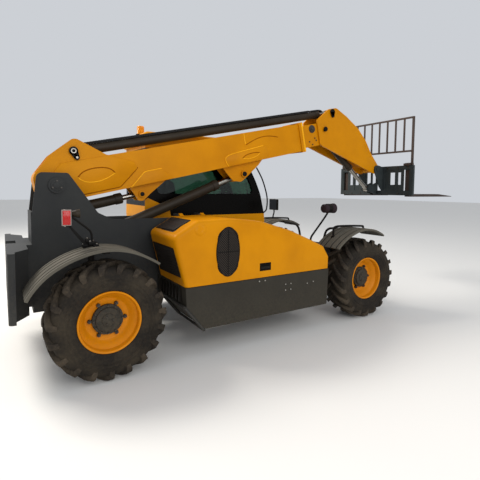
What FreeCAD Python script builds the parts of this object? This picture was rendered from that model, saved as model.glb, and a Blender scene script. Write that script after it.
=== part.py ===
import FreeCAD, Part
import math
import os
import Sketcher

# Telehandler with a two-stage telescopic boom, a fork carriage, four steered wheels,
# a cab on the left and an engine pod on the right.
# Axes of the part: +X forward, +Y left, +Z up, origin on the ground under the middle
# of the outer box. Chassis pieces are drawn in stations: X is counted from the rear
# axle. Boom pieces are drawn along and up from the boom's pivot pin, level, and
# then leaned up to the stored boom angle.

doc = FreeCAD.newDocument("Telehandler")
sheet = doc.addObject("Spreadsheet::Sheet", "Sizes")

# Columns: name, value in millimetres or degrees
SIZES = (
    # Layout of the axles and wheels
    ("rear_axle_x", -2694.95),
    ("wheelbase", 3440.0),
    ("wheel_side", 950.0),
    ("kingpin_side", 720.0),
    ("tyre_radius", 537.5),
    ("tyre_half_width", 200.0),
    ("lug_count", 19.0),
    ("lug_depth", 38.0),
    ("lug_crown", 8.3),
    ("rim_seat_radius", 255.0),
    ("rim_lip_radius", 284.0),
    ("rim_half_width", 168.0),
    ("rim_wall", 12.0),
    ("disc_face", 34.0),
    ("disc_thick", 14.0),
    ("hub_radius", 140.0),
    ("hub_face", 52.0),
    ("hub_back", -62.0),
    ("stud_circle", 160.0),
    ("stud_radius", 13.0),
    ("spindle_radius", 70.0),
    ("spindle_end", -6.0),
    # Clearances
    ("pin_gap", 0.1),
    ("seam", 6.0),
    ("eye_gap", 6.0),
    # Axles and knuckles
    ("axle_tube_radius", 75.0),
    ("axle_housing_radius", 150.0),
    ("axle_housing_half", 170.0),
    ("yoke_in", 600.0),
    ("yoke_thick", 40.0),
    ("ear_thick", 26.0),
    ("ear_radius", 58.0),
    ("ear_gap", 6.0),
    ("knuckle_radius", 62.0),
    ("knuckle_half", 150.0),
    ("kingpin_radius", 24.0),
    ("steer_arm", 150.0),
    # Frame and driveline
    ("shaft_height", 560.0),
    ("shaft_radius", 38.0),
    ("plate_side", 250.0),
    ("plate_thick", 20.0),
    ("frame_low", 480.0),
    ("axle_arch", 620.0),
    ("sill_top", 1000.0),
    ("rail_top", 1400.0),
    ("tower_top", 1900.0),
    ("frame_rear", -560.0),
    ("frame_front", 3700.0),
    ("weight_rear", -780.0),
    ("weight_half", 850.0),
    ("weight_low", 560.0),
    ("weight_top", 1180.0),
    # Boom
    ("boom_angle", 12.5),
    ("pivot_station", -320.0),
    ("pivot_height", 1770.0),
    ("pivot_radius", 40.0),
    ("boom_half", 170.0),
    ("boom_low", -185.0),
    ("boom_top", 220.0),
    ("boom_wall", 10.0),
    ("boom_end", 3480.0),
    ("hump_pin_along", 253.0),
    ("extend_up", 320.0),
    ("inner_half", 140.0),
    ("inner_low", -150.0),
    ("inner_top", 185.0),
    ("inner_wall", 10.0),
    ("inner_rear", 620.0),
    ("inner_front", 3950.0),
    ("head_pin_along", 4150.0),
    ("head_cheek", 26.0),
    ("tilt_base_along", 3950.0),
    ("tilt_base_up", 77.0),
    ("carriage_along", 5045.0),
    ("carriage_up", -760.0),
    # Cylinders
    ("lift_base_station", 120.0),
    ("lift_base_height", 1186.0),
    ("lift_pin_along", 2365.0),
    ("lift_pin_up", -330.0),
    ("lift_barrel_long", 1690.0),
    ("lift_barrel_radius", 64.0),
    ("lift_rod_radius", 38.0),
    ("lift_rod_long", 1250.0),
    ("level_base_station", -180.0),
    ("level_base_height", 1500.0),
    ("level_pin_along", 898.0),
    ("level_pin_up", -291.0),
    ("level_barrel_long", 600.0),
    ("level_barrel_radius", 58.0),
    ("level_rod_radius", 32.0),
    ("level_rod_long", 560.0),
    ("tilt_pin_back", 40.0),
    ("tilt_pin_down", 340.0),
    ("tilt_barrel_long", 960.0),
    ("tilt_barrel_radius", 56.0),
    ("tilt_rod_radius", 34.0),
    ("tilt_rod_long", 800.0),
    ("eye_half", 40.0),
    ("lift_eye_half", 74.0),
    ("level_eye_half", 68.0),
    ("cheek_thick", 18.0),
    ("pin_radius", 30.0),
    ("extend_radius", 55.0),
    ("extend_rod_radius", 36.0),
    ("extend_stroke", 2000.0),
    # Carriage and forks
    ("fork_face", 150.0),
    ("carriage_half", 780.0),
    ("fork_long", 1200.0),
    ("fork_wide", 120.0),
    ("fork_side", 670.0),
    ("fork_thick", 45.0),
    ("fork_under", -470.0),
    ("grid_low", 290.0),
    ("grid_top", 850.0),
    ("grid_half", 760.0),
    ("grid_bar", 22.0),
    ("grid_count", 8.0),
    # Engine pod on the right
    ("body_half", 1100.0),
    ("hood_in", 400.0),
    ("sheet_wall", 8.0),
    ("pod_in", 300.0),
    ("sill_height", 745.0),
    ("skirt_low", 290.0),
    ("hinge_side", 375.0),
    ("hinge_height", 1440.0),
    ("hood_round", 45.0),
    # Cab on the left
    ("cab_in", 225.0),
    ("cab_out", 1080.0),
    ("cab_step_side", 300.0),
    ("cab_step_height", 1050.0),
    ("cab_rear", 760.0),
    ("cab_floor", 800.0),
    ("waist", 1380.0),
    ("cab_head", 2310.0),
    ("roof_top", 2480.0),
    ("roof_round", 40.0),
    ("post", 60.0),
    ("cab_wall", 40.0),
    ("glass_thick", 6.0),
    ("door_rear", 1400.0),
    ("door_thick", 30.0),
    ("hinge_back", 44.0),
    ("hinge_aside", 21.0),
    ("hinge_pin", 7.0),
    ("hinge_lower", 1000.0),
    ("hinge_upper", 2080.0),
    # Fenders
    ("front_fender_radius", 660.0),
    ("rear_fender_radius", 640.0),
    ("column_lean", 50.0),
    ("fender_thick", 14.0),
    ("fender_in", 700.0),
    ("fender_out", 1110.0),
)


class Size:
    # A number together with the sheet expression that it comes from
    def __init__(self, value, text):
        self.value = value
        self.text = text

    def joined(self, other, sign, value):
        return Size(value, "(" + self.text + sign + as_size(other).text + ")")

    def __add__(self, other):
        return self.joined(other, " + ", self.value + as_size(other).value)

    def __radd__(self, other):
        return as_size(other) + self

    def __sub__(self, other):
        return self.joined(other, " - ", self.value - as_size(other).value)

    def __rsub__(self, other):
        return as_size(other) - self

    def __mul__(self, other):
        return self.joined(other, " * ", self.value * as_size(other).value)

    def __rmul__(self, other):
        return as_size(other) * self

    def __truediv__(self, other):
        return self.joined(other, " / ", self.value / as_size(other).value)

    def __neg__(self):
        return as_size(0) - self


def as_size(number):
    if isinstance(number, Size):
        return number
    return Size(float(number), "(%.6f)" % number)


def sine(angle):
    return Size(math.sin(math.radians(angle.value)), "sin(" + angle.text + ")")


def cosine(angle):
    return Size(math.cos(math.radians(angle.value)), "cos(" + angle.text + ")")


def length_of(across, up):
    return Size(math.hypot(across.value, up.value), "sqrt(" + across.text + "^2 + " + up.text + "^2)")


def slope_of(across, up):
    angle = math.degrees(math.atan2(up.value, across.value))
    return Size(angle, "(atan2(" + up.text + "; " + across.text + ") / 1deg)")


class Sheet:
    # Each name of the table becomes a cell with that alias and a value here
    def __init__(self, table):
        for row, (name, value) in enumerate(table, start=1):
            cell = "A%d" % row
            sheet.set(cell, repr(value))
            sheet.setAlias(cell, name)
            setattr(self, name, Size(value, "Sizes." + name))


d = Sheet(SIZES)
doc.recompute()


def box(left, low, right, high, corner=0):
    return [(left, low, corner), (right, low, corner), (right, high, corner), (left, high, corner)]


def ring(across, up, radius):
    return ("ring", across, up, radius)


def corner_arc(before, corner, after, radius):
    # Both tangent points and the middle point of a rounded corner
    back = (before - corner).normalize()
    ahead = (after - corner).normalize()
    half = back.getAngle(ahead) / 2
    reach = radius / math.tan(half)
    middle = corner + (back + ahead).normalize() * (radius / math.sin(half) - radius)
    return corner + back * reach, middle, corner + ahead * reach


class Piece:
    # One sub-part: a body whose sketches stand on its own origin planes
    def __init__(self, label, base=None, lean=None):
        self.body = doc.addObject("PartDesign::Body", label)
        self.body.Label = label
        self.base = base if base else (d.rear_axle_x, as_size(0), as_size(0))
        self.lean = lean
        self.seat()

    def seat(self):
        rotation = FreeCAD.Rotation()
        if self.lean is not None:
            rotation = FreeCAD.Rotation(FreeCAD.Vector(0, -1, 0), self.lean.value)
        where = FreeCAD.Vector(*[as_size(value).value for value in self.base])
        self.body.Placement = FreeCAD.Placement(where, rotation)
        for letter, value in zip("xyz", self.base):
            self.body.setExpression("Placement.Base." + letter, as_size(value).text)

    def plane(self, role):
        return [item for item in self.body.Origin.OriginFeatures if item.Role == role][0]

    def sketch(self, role, outlines, lift, seat=None):
        drawing = self.body.newObject("Sketcher::SketchObject", self.body.Label + "_outline")
        drawing.AttachmentSupport = [(self.plane(role), "")]
        drawing.MapMode = "FlatFace"
        if seat:
            # The sketch is moved in its own plane, then turned by an angle
            across, up, angle = seat
            spin = FreeCAD.Rotation(FreeCAD.Vector(0, 0, 1), as_size(angle).value)
            where = FreeCAD.Vector(as_size(across).value, as_size(up).value, 0)
            drawing.AttachmentOffset = FreeCAD.Placement(where, spin)
            drawing.setExpression("AttachmentOffset.Base.x", as_size(across).text)
            drawing.setExpression("AttachmentOffset.Base.y", as_size(up).text)
        drawing.setExpression("AttachmentOffset.Base.z", as_size(lift).text)
        for outline in outlines:
            if outline[0] == "ring":
                self.draw_ring(drawing, *outline[1:])
            else:
                self.draw_corners(drawing, outline)
        return drawing

    def bind(self, drawing, kind, where, value):
        value = as_size(value)
        number = drawing.addConstraint(Sketcher.Constraint(kind, *where, value.value))
        if "Sizes." in value.text:
            drawing.setExpression("Constraints[%d]" % number, value.text)

    def draw_ring(self, drawing, across, up, radius):
        centre = FreeCAD.Vector(as_size(across).value, as_size(up).value, 0)
        circle = Part.Circle(centre, FreeCAD.Vector(0, 0, 1), as_size(radius).value)
        item = drawing.addGeometry(circle, False)
        self.bind(drawing, "DistanceX", (-1, 1, item, 3), across)
        self.bind(drawing, "DistanceY", (-1, 1, item, 3), up)
        self.bind(drawing, "Radius", (item,), radius)

    def draw_corners(self, drawing, corners):
        corners = [tuple(corner) + (0,) * (3 - len(corner)) for corner in corners]
        count = len(corners)
        points = [FreeCAD.Vector(as_size(a).value, as_size(b).value, 0) for a, b, r in corners]
        joints = []
        for index, (across, up, radius) in enumerate(corners):
            reach = as_size(radius).value
            if reach > 0:
                after = points[(index + 1) % count]
                joints.append(corner_arc(points[index - 1], points[index], after, reach))
            else:
                joints.append((points[index], None, points[index]))
        lines = []
        for index in range(count):
            line = Part.LineSegment(joints[index][2], joints[(index + 1) % count][0])
            lines.append(drawing.addGeometry(line, False))
        for index, (across, up, radius) in enumerate(corners):
            start, middle, end = joints[index]
            before = lines[index - 1]
            after = lines[index]
            if middle is None:
                drawing.addConstraint(Sketcher.Constraint("Coincident", before, 2, after, 1))
                self.bind(drawing, "DistanceX", (-1, 1, after, 1), across)
                self.bind(drawing, "DistanceY", (-1, 1, after, 1), up)
                continue
            # A sketch arc always runs anticlockwise, so a right turn is drawn from its end
            leftwards = (middle - start).cross(end - start).z > 0
            curve = Part.Arc(start, middle, end) if leftwards else Part.Arc(end, middle, start)
            near, far = (1, 2) if leftwards else (2, 1)
            arc = drawing.addGeometry(curve, False)
            drawing.addConstraint(Sketcher.Constraint("Tangent", before, 2, arc, near))
            drawing.addConstraint(Sketcher.Constraint("Tangent", after, 1, arc, far))
            point = drawing.addGeometry(Part.Point(points[index]), True)
            drawing.addConstraint(Sketcher.Constraint("PointOnObject", point, 1, before))
            drawing.addConstraint(Sketcher.Constraint("PointOnObject", point, 1, after))
            self.bind(drawing, "Radius", (arc,), radius)
            self.bind(drawing, "DistanceX", (-1, 1, point, 1), across)
            self.bind(drawing, "DistanceY", (-1, 1, point, 1), up)

    def pad(self, role, outlines, low, high, seat=None):
        # The side plane's normal points to -Y, so its sketches are lifted the other way
        lift = -as_size(high) if role == "XZ_Plane" else as_size(low)
        drawing = self.sketch(role, outlines, lift, seat)
        feature = self.body.newObject("PartDesign::Pad", self.body.Label + "_pad")
        feature.Profile = drawing
        feature.setExpression("Length", (as_size(high) - low).text)
        return feature

    def cut(self, role, outlines, low, high):
        lift = -as_size(low) if role == "XZ_Plane" else as_size(high)
        drawing = self.sketch(role, outlines, lift)
        feature = self.body.newObject("PartDesign::Pocket", self.body.Label + "_cut")
        feature.Profile = drawing
        feature.setExpression("Length", (as_size(high) - low).text)
        return feature

    def turn(self, role, outlines, axis="H_Axis", lift=0, seat=None):
        drawing = self.sketch(role, outlines, lift, seat)
        feature = self.body.newObject("PartDesign::Revolution", self.body.Label + "_turn")
        feature.Profile = drawing
        feature.ReferenceAxis = (drawing, [axis])
        feature.Angle = 360
        return feature

    def groove(self, role, outlines, axis="H_Axis"):
        drawing = self.sketch(role, outlines, 0)
        feature = self.body.newObject("PartDesign::Groove", self.body.Label + "_groove")
        feature.Profile = drawing
        feature.ReferenceAxis = (drawing, [axis])
        feature.Angle = 360
        return feature

    def swung_pad(self, outlines, low, high, angle):
        # A pad on the plan, swung about the body's cross axis
        drawing = self.sketch("XY_Plane", outlines, 0)
        swing = FreeCAD.Rotation(FreeCAD.Vector(0, 1, 0), angle)
        drawing.AttachmentOffset = FreeCAD.Placement(FreeCAD.Vector(0, 0, 0), swing)
        across = as_size(low) * math.sin(math.radians(angle))
        up = as_size(low) * math.cos(math.radians(angle))
        drawing.setExpression("AttachmentOffset.Base.x", across.text)
        drawing.setExpression("AttachmentOffset.Base.z", up.text)
        feature = self.body.newObject("PartDesign::Pad", self.body.Label + "_pad")
        feature.Profile = drawing
        feature.setExpression("Length", (as_size(high) - low).text)
        return feature

    def around(self, feature, axis, count):
        # Repeats a feature evenly about one of the body's own axes
        pattern = self.body.newObject("PartDesign::PolarPattern", self.body.Label + "_round")
        pattern.Originals = [feature]
        line = [item for item in self.body.Origin.OriginFeatures if item.Role == axis][0]
        pattern.Axis = (line, [""])
        pattern.Angle = 360
        pattern.Occurrences = count
        self.body.Tip = pattern
        return pattern

    def repeat(self, feature, axis, length, count):
        # Repeats a feature evenly along one of the body's own axes
        pattern = self.body.newObject("PartDesign::LinearPattern", self.body.Label + "_row")
        pattern.Originals = [feature]
        line = [item for item in self.body.Origin.OriginFeatures if item.Role == axis][0]
        pattern.Direction = (line, [""])
        pattern.Length = length
        pattern.Occurrences = count
        self.body.Tip = pattern
        return pattern

    def both_pads(self, role, outlines, low, high):
        self.pad(role, outlines, low, high)
        self.pad(role, outlines, -as_size(high), -as_size(low))

    def both_cuts(self, role, outlines, low, high):
        self.cut(role, outlines, low, high)
        self.cut(role, outlines, -as_size(high), -as_size(low))


SIDE = "XZ_Plane"
PLAN = "XY_Plane"
FRONT = "YZ_Plane"

pieces = []


def round_edges(made, radius, wanted):
    # Rounds the edges whose box passes the test
    doc.recompute()
    base = made.body.Tip
    names = []
    for index, edge in enumerate(base.Shape.Edges, start=1):
        if wanted(edge.BoundBox):
            names.append("Edge%d" % index)
    fillet = made.body.newObject("PartDesign::Fillet", made.body.Label + "_round")
    fillet.Base = (base, names)
    fillet.setExpression("Radius", radius.text)
    doc.recompute()
    return fillet


def piece(label, base=None, lean=None):
    made = Piece(label, base, lean)
    pieces.append(made.body)
    return made


def boom_point(along, up):
    # Station and height of a point that is given in the boom's own axes
    return (
        d.pivot_station + along * cosine(d.boom_angle) - up * sine(d.boom_angle),
        d.pivot_height + along * sine(d.boom_angle) + up * cosine(d.boom_angle),
    )


# Stations of the two hinge brackets of the hood
HOOD_HINGES = (950, 1230)


def chassis_base(station, side, height):
    return (d.rear_axle_x + station, as_size(side), as_size(height))


boom_base = chassis_base(d.pivot_station, 0, d.pivot_height)
front_axle = d.wheelbase
rear_axle = as_size(0)
axle_height = d.tyre_radius
ear_top = d.knuckle_half + d.ear_gap + d.ear_thick
plate_out = d.plate_side + d.plate_thick


def make_frame():
    frame = piece("frame")
    arch = 200
    low = [
        (d.frame_rear, d.frame_low),
        (rear_axle - arch, d.frame_low, 40),
        (rear_axle - arch + 70, d.axle_arch, 40),
        (rear_axle + arch - 70, d.axle_arch, 40),
        (rear_axle + arch, d.frame_low, 40),
        (front_axle - arch, d.frame_low, 40),
        (front_axle - arch + 70, d.axle_arch, 40),
        (front_axle + arch - 70, d.axle_arch, 40),
        (front_axle + arch, d.frame_low, 40),
        (d.frame_front, d.frame_low, 30),
    ]
    tower = [
        (d.cab_rear - 520, d.rail_top, 110),
        (80, 1480, 60),
        (d.pivot_station + 110, d.tower_top, 40),
        (d.pivot_station - 180, d.tower_top, 60),
        (d.frame_rear, d.rail_top, 0),
    ]
    right = low + [(d.frame_front, 900, 60), (2850, d.sill_top, 80), (1700, 1240, 200), (1250, d.rail_top, 120)]
    left = low + [(d.frame_front, 900, 60), (2850, d.sill_top, 80), (d.cab_rear - 40, d.sill_top, 60)]
    left += [(d.cab_rear - 90, d.rail_top, 60)]
    frame.pad(SIDE, [right + tower], -plate_out, -d.plate_side)
    frame.pad(SIDE, [left + tower], d.plate_side, plate_out)
    # Cross walls and floors between the two side plates
    crosses = (
        # rear, low, front, top
        (d.frame_rear, d.frame_low, d.frame_rear + 20, 1500),
        (rear_axle - 130, d.axle_arch + 80, rear_axle + 180, d.axle_arch + 110),
        (d.cab_rear, d.frame_low, d.cab_rear + 20, 900),
        (2700, d.frame_low, 2720, 900),
        (front_axle - 180, d.axle_arch + 80, front_axle + 180, d.axle_arch + 110),
        (d.frame_front - 60, d.frame_low, d.frame_front - 40, 880),
    )
    for rear, bottom, front, top in crosses:
        frame.pad(SIDE, [box(rear, bottom, front, top)], -d.plate_side, d.plate_side)
    # The shafts of the driveline pass through the two middle walls
    shaft_hole = ring(0, d.shaft_height, d.shaft_radius + 25)
    frame.cut(FRONT, [shaft_hole], d.cab_rear - 5, d.cab_rear + 25)
    frame.cut(FRONT, [shaft_hole], 2695, 2725)
    # Pivot bosses, the boom's pin and the pins of the two cylinders behind it
    boss = ring(d.pivot_station, d.pivot_height, 80)
    frame.both_pads(SIDE, [boss], plate_out, plate_out + 22)
    frame.pad(SIDE, [ring(d.pivot_station, d.pivot_height, d.pivot_radius)], -plate_out, plate_out)
    cheek = d.eye_half + d.eye_gap
    lift = [
        (d.lift_base_station - 90, d.axle_arch + 95),
        (d.lift_base_station + 62, d.axle_arch + 95),
        (d.lift_base_station + 62, d.lift_base_height + 62, 60),
        (d.lift_base_station - 62, d.lift_base_height + 62, 60),
    ]
    frame.both_pads(SIDE, [lift], cheek, cheek + d.cheek_thick)
    pin = ring(d.lift_base_station, d.lift_base_height, d.pin_radius)
    frame.pad(SIDE, [pin], -cheek - d.cheek_thick, cheek + d.cheek_thick)
    level = [
        (d.frame_rear + 10, d.level_base_height - 190),
        (d.level_base_station + 30, d.level_base_height - 60, 30),
        (d.level_base_station + 58, d.level_base_height + 56, 55),
        (d.level_base_station - 58, d.level_base_height + 56, 50),
        (d.frame_rear + 10, d.level_base_height - 60),
    ]
    frame.both_pads(SIDE, [level], cheek, cheek + d.cheek_thick)
    pin = ring(d.level_base_station, d.level_base_height, d.pin_radius)
    frame.pad(SIDE, [pin], -cheek - d.cheek_thick, cheek + d.cheek_thick)
    # Brackets that carry the engine pod and the tank box
    holders = [box(900, 520, 980, 720), box(2300, 520, 2380, 720)]
    frame.both_pads(SIDE, holders, plate_out, d.pod_in)
    # Hinge brackets of the hood, with a pin along the hinge line
    for station in HOOD_HINGES:
        arm = box(-d.hinge_side - 12, d.hinge_height - 12, -d.plate_side - 4, d.hinge_height + 12)
        frame.pad(FRONT, [arm], station, station + 14)
        post = box(-plate_out, d.sill_top, -d.plate_side - 4, d.hinge_height)
        frame.pad(FRONT, [post], station, station + 14)
        pin = ring(-d.hinge_side, d.hinge_height, 8)
        frame.pad(FRONT, [pin], station, station + 74)
    return frame


def make_counterweight():
    weight = piece("counterweight")
    plan = [
        (d.weight_rear, -d.weight_half, 40),
        (d.weight_rear + 60, -d.weight_half, 0),
        (d.weight_rear + 60, -d.weight_half + 90, 0),
        (d.frame_rear - 50, -d.weight_half + 250, 0),
        (d.frame_rear - 50, -320, 0),
        (d.frame_rear, -320, 0),
        (d.frame_rear, 320, 0),
        (d.frame_rear - 50, 320, 0),
        (d.frame_rear - 50, d.weight_half - 250, 0),
        (d.weight_rear + 60, d.weight_half - 90, 0),
        (d.weight_rear + 60, d.weight_half, 0),
        (d.weight_rear, d.weight_half, 40),
    ]
    weight.pad(PLAN, [plan], d.weight_low, d.weight_top)
    # Hitch clevis in an upright channel of the rear face, so that its pin drops in from above
    channel = box(-110, d.weight_low - 1, 110, d.weight_top + 1)
    weight.cut(FRONT, [channel], d.weight_rear - 1, d.weight_rear + 90)
    ears = box(d.weight_rear, -60, d.weight_rear + 100, 60)
    for low in (600, 700):
        weight.pad(PLAN, [ears], low, low + 24)
    weight.cut(PLAN, [ring(d.weight_rear + 42, 0, 16)], 590, 740)
    return weight


def make_axle(label, centre):
    axle = piece(label, chassis_base(centre, 0, axle_height))
    housing = [
        (-d.axle_housing_half - 60, 0),
        (-d.axle_housing_half - 60, d.axle_tube_radius, 0),
        (-d.axle_housing_half + 60, d.axle_housing_radius - 20, 60),
        (-40, d.axle_housing_radius, 60),
        (40, d.axle_housing_radius, 60),
        (d.axle_housing_half - 60, d.axle_housing_radius - 20, 60),
        (d.axle_housing_half + 60, d.axle_tube_radius, 0),
        (d.axle_housing_half + 60, 0),
    ]
    axle.turn(FRONT, [housing])
    axle.pad(SIDE, [ring(0, 0, d.axle_tube_radius)], -d.yoke_in, d.yoke_in)
    # Mounting pads under the frame plates
    pad_half = 60
    axle.both_pads(
        SIDE,
        [box(-pad_half, 0, pad_half, d.axle_arch - d.tyre_radius)],
        d.plate_side - 30,
        plate_out + 30,
    )
    web = [(-44, -ear_top), (44, -ear_top), (44, ear_top), (-44, ear_top)]
    axle.both_pads(SIDE, [web], d.yoke_in, d.yoke_in + d.yoke_thick)
    for side in (1, -1):
        ear = [
            (-44, side * d.yoke_in),
            (-44, side * d.kingpin_side),
            (-20, side * (d.kingpin_side + d.ear_radius), 20),
            (20, side * (d.kingpin_side + d.ear_radius), 20),
            (44, side * d.kingpin_side),
            (44, side * d.yoke_in),
        ]
        bore = ring(0, side * d.kingpin_side, d.kingpin_radius + d.pin_gap)
        axle.pad(PLAN, [ear], d.knuckle_half + d.ear_gap, ear_top)
        axle.pad(PLAN, [ear], -ear_top, -d.knuckle_half - d.ear_gap)
        axle.cut(PLAN, [bore], -ear_top - 1, ear_top + 1)
    return axle


def make_knuckle(label, centre, side):
    knuckle = piece(label, chassis_base(centre, side * d.kingpin_side, axle_height))
    knuckle.pad(PLAN, [ring(0, 0, d.knuckle_radius)], -d.knuckle_half, d.knuckle_half)
    knuckle.pad(PLAN, [ring(0, 0, d.kingpin_radius)], -ear_top, ear_top)
    spindle = ring(0, 0, d.spindle_radius)
    end = d.wheel_side + d.spindle_end - d.kingpin_side
    if side > 0:
        knuckle.pad(SIDE, [spindle], 0, end)
    else:
        knuckle.pad(SIDE, [spindle], -end, 0)
    back = -1 if centre is front_axle else 1
    arm = [
        (0, side * -10),
        (back * d.steer_arm, side * -45, 14),
        (back * d.steer_arm, side * -10, 14),
        (0, side * 30),
    ]
    knuckle.pad(PLAN, [arm], -70, -40)
    return knuckle


def lug_outline(hand):
    # Plan of one lug: its inner end leads, its outer end trails by the shoulder
    corners = (
        # forward of the lug's middle, distance from the tyre's middle
        (46, 8),
        (94, 8),
        (46, 100),
        (-24, d.tyre_half_width - 2),
        (-94, d.tyre_half_width - 2),
        (-14, 100),
    )
    return [(along, hand * as_size(across)) for along, across in corners]


def make_tyre(label, centre, side):
    tyre = piece(label, chassis_base(centre, side * d.wheel_side, axle_height))
    half = d.tyre_half_width
    carcass = d.tyre_radius - d.lug_depth
    # Half of the section, from the bead out to the middle of the tread
    section = [
        (d.rim_half_width - d.rim_wall, d.rim_seat_radius),
        (d.rim_half_width - d.rim_wall, d.rim_lip_radius + 4),
        (half - 14, d.rim_lip_radius + 44),
        (half, carcass - 90),
        (half - 36, carcass - 6),
    ]
    other = [(-across, up) for across, up in reversed(section)]
    tyre.turn(FRONT, [section + other])
    # Two rows of slanting lugs, the second set half a step behind the first
    low = carcass - 52
    high = d.tyre_radius - d.lug_crown
    count = int(d.lug_count.value)
    tyre.around(tyre.pad(PLAN, [lug_outline(1)], low, high), "Y_Axis", count)
    behind = tyre.swung_pad([lug_outline(-1)], low, high, 180 / count)
    tyre.around(behind, "Y_Axis", count)
    return tyre


def make_rim(label, centre, side):
    rim = piece(label, chassis_base(centre, side * d.wheel_side, axle_height))
    half = d.rim_half_width
    inner = d.rim_seat_radius - d.rim_wall
    face = side * d.disc_face
    back = side * (d.disc_face - d.disc_thick)
    barrel = [
        (-half, inner),
        (half, inner),
        (half, d.rim_lip_radius),
        (half - d.rim_wall, d.rim_lip_radius),
        (half - d.rim_wall, d.rim_seat_radius),
        (-half + d.rim_wall, d.rim_seat_radius),
        (-half + d.rim_wall, d.rim_lip_radius),
        (-half, d.rim_lip_radius),
    ]
    rim.turn(FRONT, [barrel])
    disc = [
        (back, 0),
        (face, 0),
        (face, inner - 40),
        (side * 100, inner + 2),
        (side * 84, inner + 2),
        (back, inner - 40),
    ]
    rim.turn(FRONT, [disc])
    hub = [
        (side * d.hub_back, d.spindle_radius + d.pin_gap),
        (side * (d.spindle_end + 6), d.spindle_radius + d.pin_gap),
        (side * (d.spindle_end + 6), 0),
        (side * d.hub_face, 0),
        (side * d.hub_face, d.hub_radius - 14, 0),
        (side * (d.hub_face - 14), d.hub_radius, 0),
        (side * (d.hub_back + 24), d.hub_radius, 0),
        (side * d.hub_back, d.hub_radius - 30, 0),
    ]
    rim.turn(FRONT, [hub])
    studs = []
    for turn in range(0, 360, 60):
        across = d.stud_circle * math.cos(math.radians(turn))
        up = d.stud_circle * math.sin(math.radians(turn))
        studs.append(ring(across, up, d.stud_radius))
    low = d.disc_face if side > 0 else -d.disc_face - 20
    rim.pad(SIDE, studs, low, low + 20)
    return rim


def make_driveline():
    line = piece("driveline")
    gearbox = [(1250, 500, 20), (1700, 500, 20), (1760, 620, 20), (1700, 860, 40), (1300, 860, 40), (1250, 780, 20)]
    line.pad(SIDE, [gearbox], -150, 150)
    line.pad(SIDE, [box(1440, 600, 1520, 680)], -d.plate_side, d.plate_side)
    shaft = ring(0, d.shaft_height, d.shaft_radius)
    reach = d.axle_housing_radius + 10
    line.pad(FRONT, [shaft], rear_axle + reach, 1260)
    line.pad(FRONT, [shaft], 1740, front_axle - reach)
    return line


def make_engine_block():
    engine = piece("engine_block")
    engine.pad(SIDE, [box(950, 560, 1750, 1150, 40)], -1000, -480)
    mounts = [box(1000, 780, 1060, 860), box(1640, 780, 1700, 860)]
    engine.pad(SIDE, mounts, -480, -plate_out)
    return engine


def make_pod_tray():
    tray = piece("pod_tray")
    outline = [
        (740, d.sill_height),
        (750, 550, 20),
        (960, d.skirt_low, 30),
        (2700, d.skirt_low, 20),
        (2720, d.sill_height),
    ]
    wall = d.sheet_wall
    inner = [
        (740 + wall, d.sill_height + 1),
        (750 + wall, 550 + 4, 16),
        (960 + 4, d.skirt_low + wall, 24),
        (2700 - wall, d.skirt_low + wall, 14),
        (2720 - wall, d.sill_height + 1),
    ]
    tray.pad(SIDE, [outline], -d.body_half, -d.pod_in)
    tray.cut(SIDE, [inner], -d.body_half + wall, -d.pod_in - wall)
    return tray


HOOD_SIDE = (
    # station, height above the ground, corner radius
    (740, 751, 0),
    (612, 1270, 60),
    (880, 1424, 90),
    (1250, 1434, 200),
    (1660, 1392, 300),
    (2090, 1270, 300),
    (2410, 1140, 200),
    (2640, 1040, 60),
    (2735, 900, 50),
    (2730, 751, 0),
)


# Grille outlines: side and height, station and side, station and height, each with a corner radius
REAR_GRILLE = ((-1000, 1130, 20), (-500, 1130, 20), (-560, 850, 20), (-970, 850, 20))
TOP_GRILLE = ((668, -960, 25), (826, -900, 25), (826, -520, 25), (668, -600, 25))
SIDE_GRILLE = ((1100, 830, 115), (1360, 830, 115), (1360, 1330, 115), (1100, 1330, 115))


def slots(low, high, step, tall, edges):
    # Level openings between two heights; edges gives their ends at each height
    return [box(*edges(up)[:1], up, *edges(up)[1:], up + tall) for up in range(low, high, step)]


def make_hood_shell():
    hood = piece("hood_shell")
    hood.pad(SIDE, [list(HOOD_SIDE)], -d.body_half, -d.hood_in)
    outer_edge = -d.body_half.value + 1
    low_edge = HOOD_SIDE[0][1] + 1
    rounded = round_edges(hood, d.hood_round, lambda room: room.YMax < outer_edge and room.ZMax > low_edge)
    open_faces = []
    for index, face in enumerate(rounded.Shape.Faces, start=1):
        room = face.BoundBox
        if room.YMin > -d.hood_in.value - 1 or room.ZMax < low_edge:
            open_faces.append("Face%d" % index)
    shell = hood.body.newObject("PartDesign::Thickness", "hood_walls")
    shell.Base = (rounded, open_faces)
    shell.setExpression("Value", d.sheet_wall.text)
    shell.Reversed = True
    shell.Join = 1
    # Hinge sleeves on the inner top edge
    for station in HOOD_HINGES:
        arm = [
            (-d.hinge_side, d.hinge_height - 12),
            (-d.hinge_side, d.hinge_height + 12),
            (-d.hood_in - 30, d.hinge_height - 8),
            (-d.hood_in - 30, d.hinge_height - 22),
        ]
        hood.pad(FRONT, [arm], station + 20, station + 66)
        hood.pad(FRONT, [ring(-d.hinge_side, d.hinge_height, 14)], station + 20, station + 66)
        hood.cut(FRONT, [ring(-d.hinge_side, d.hinge_height, 8 + d.pin_gap)], station + 19, station + 67)
    # Openings for the three grilles
    hood.cut(FRONT, [REAR_GRILLE], 600, 760)
    hood.cut(PLAN, [TOP_GRILLE], 1280, 1420)
    hood.cut(SIDE, [SIDE_GRILLE], -d.body_half - 1, -d.body_half + d.sheet_wall + 1)
    return hood


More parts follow.
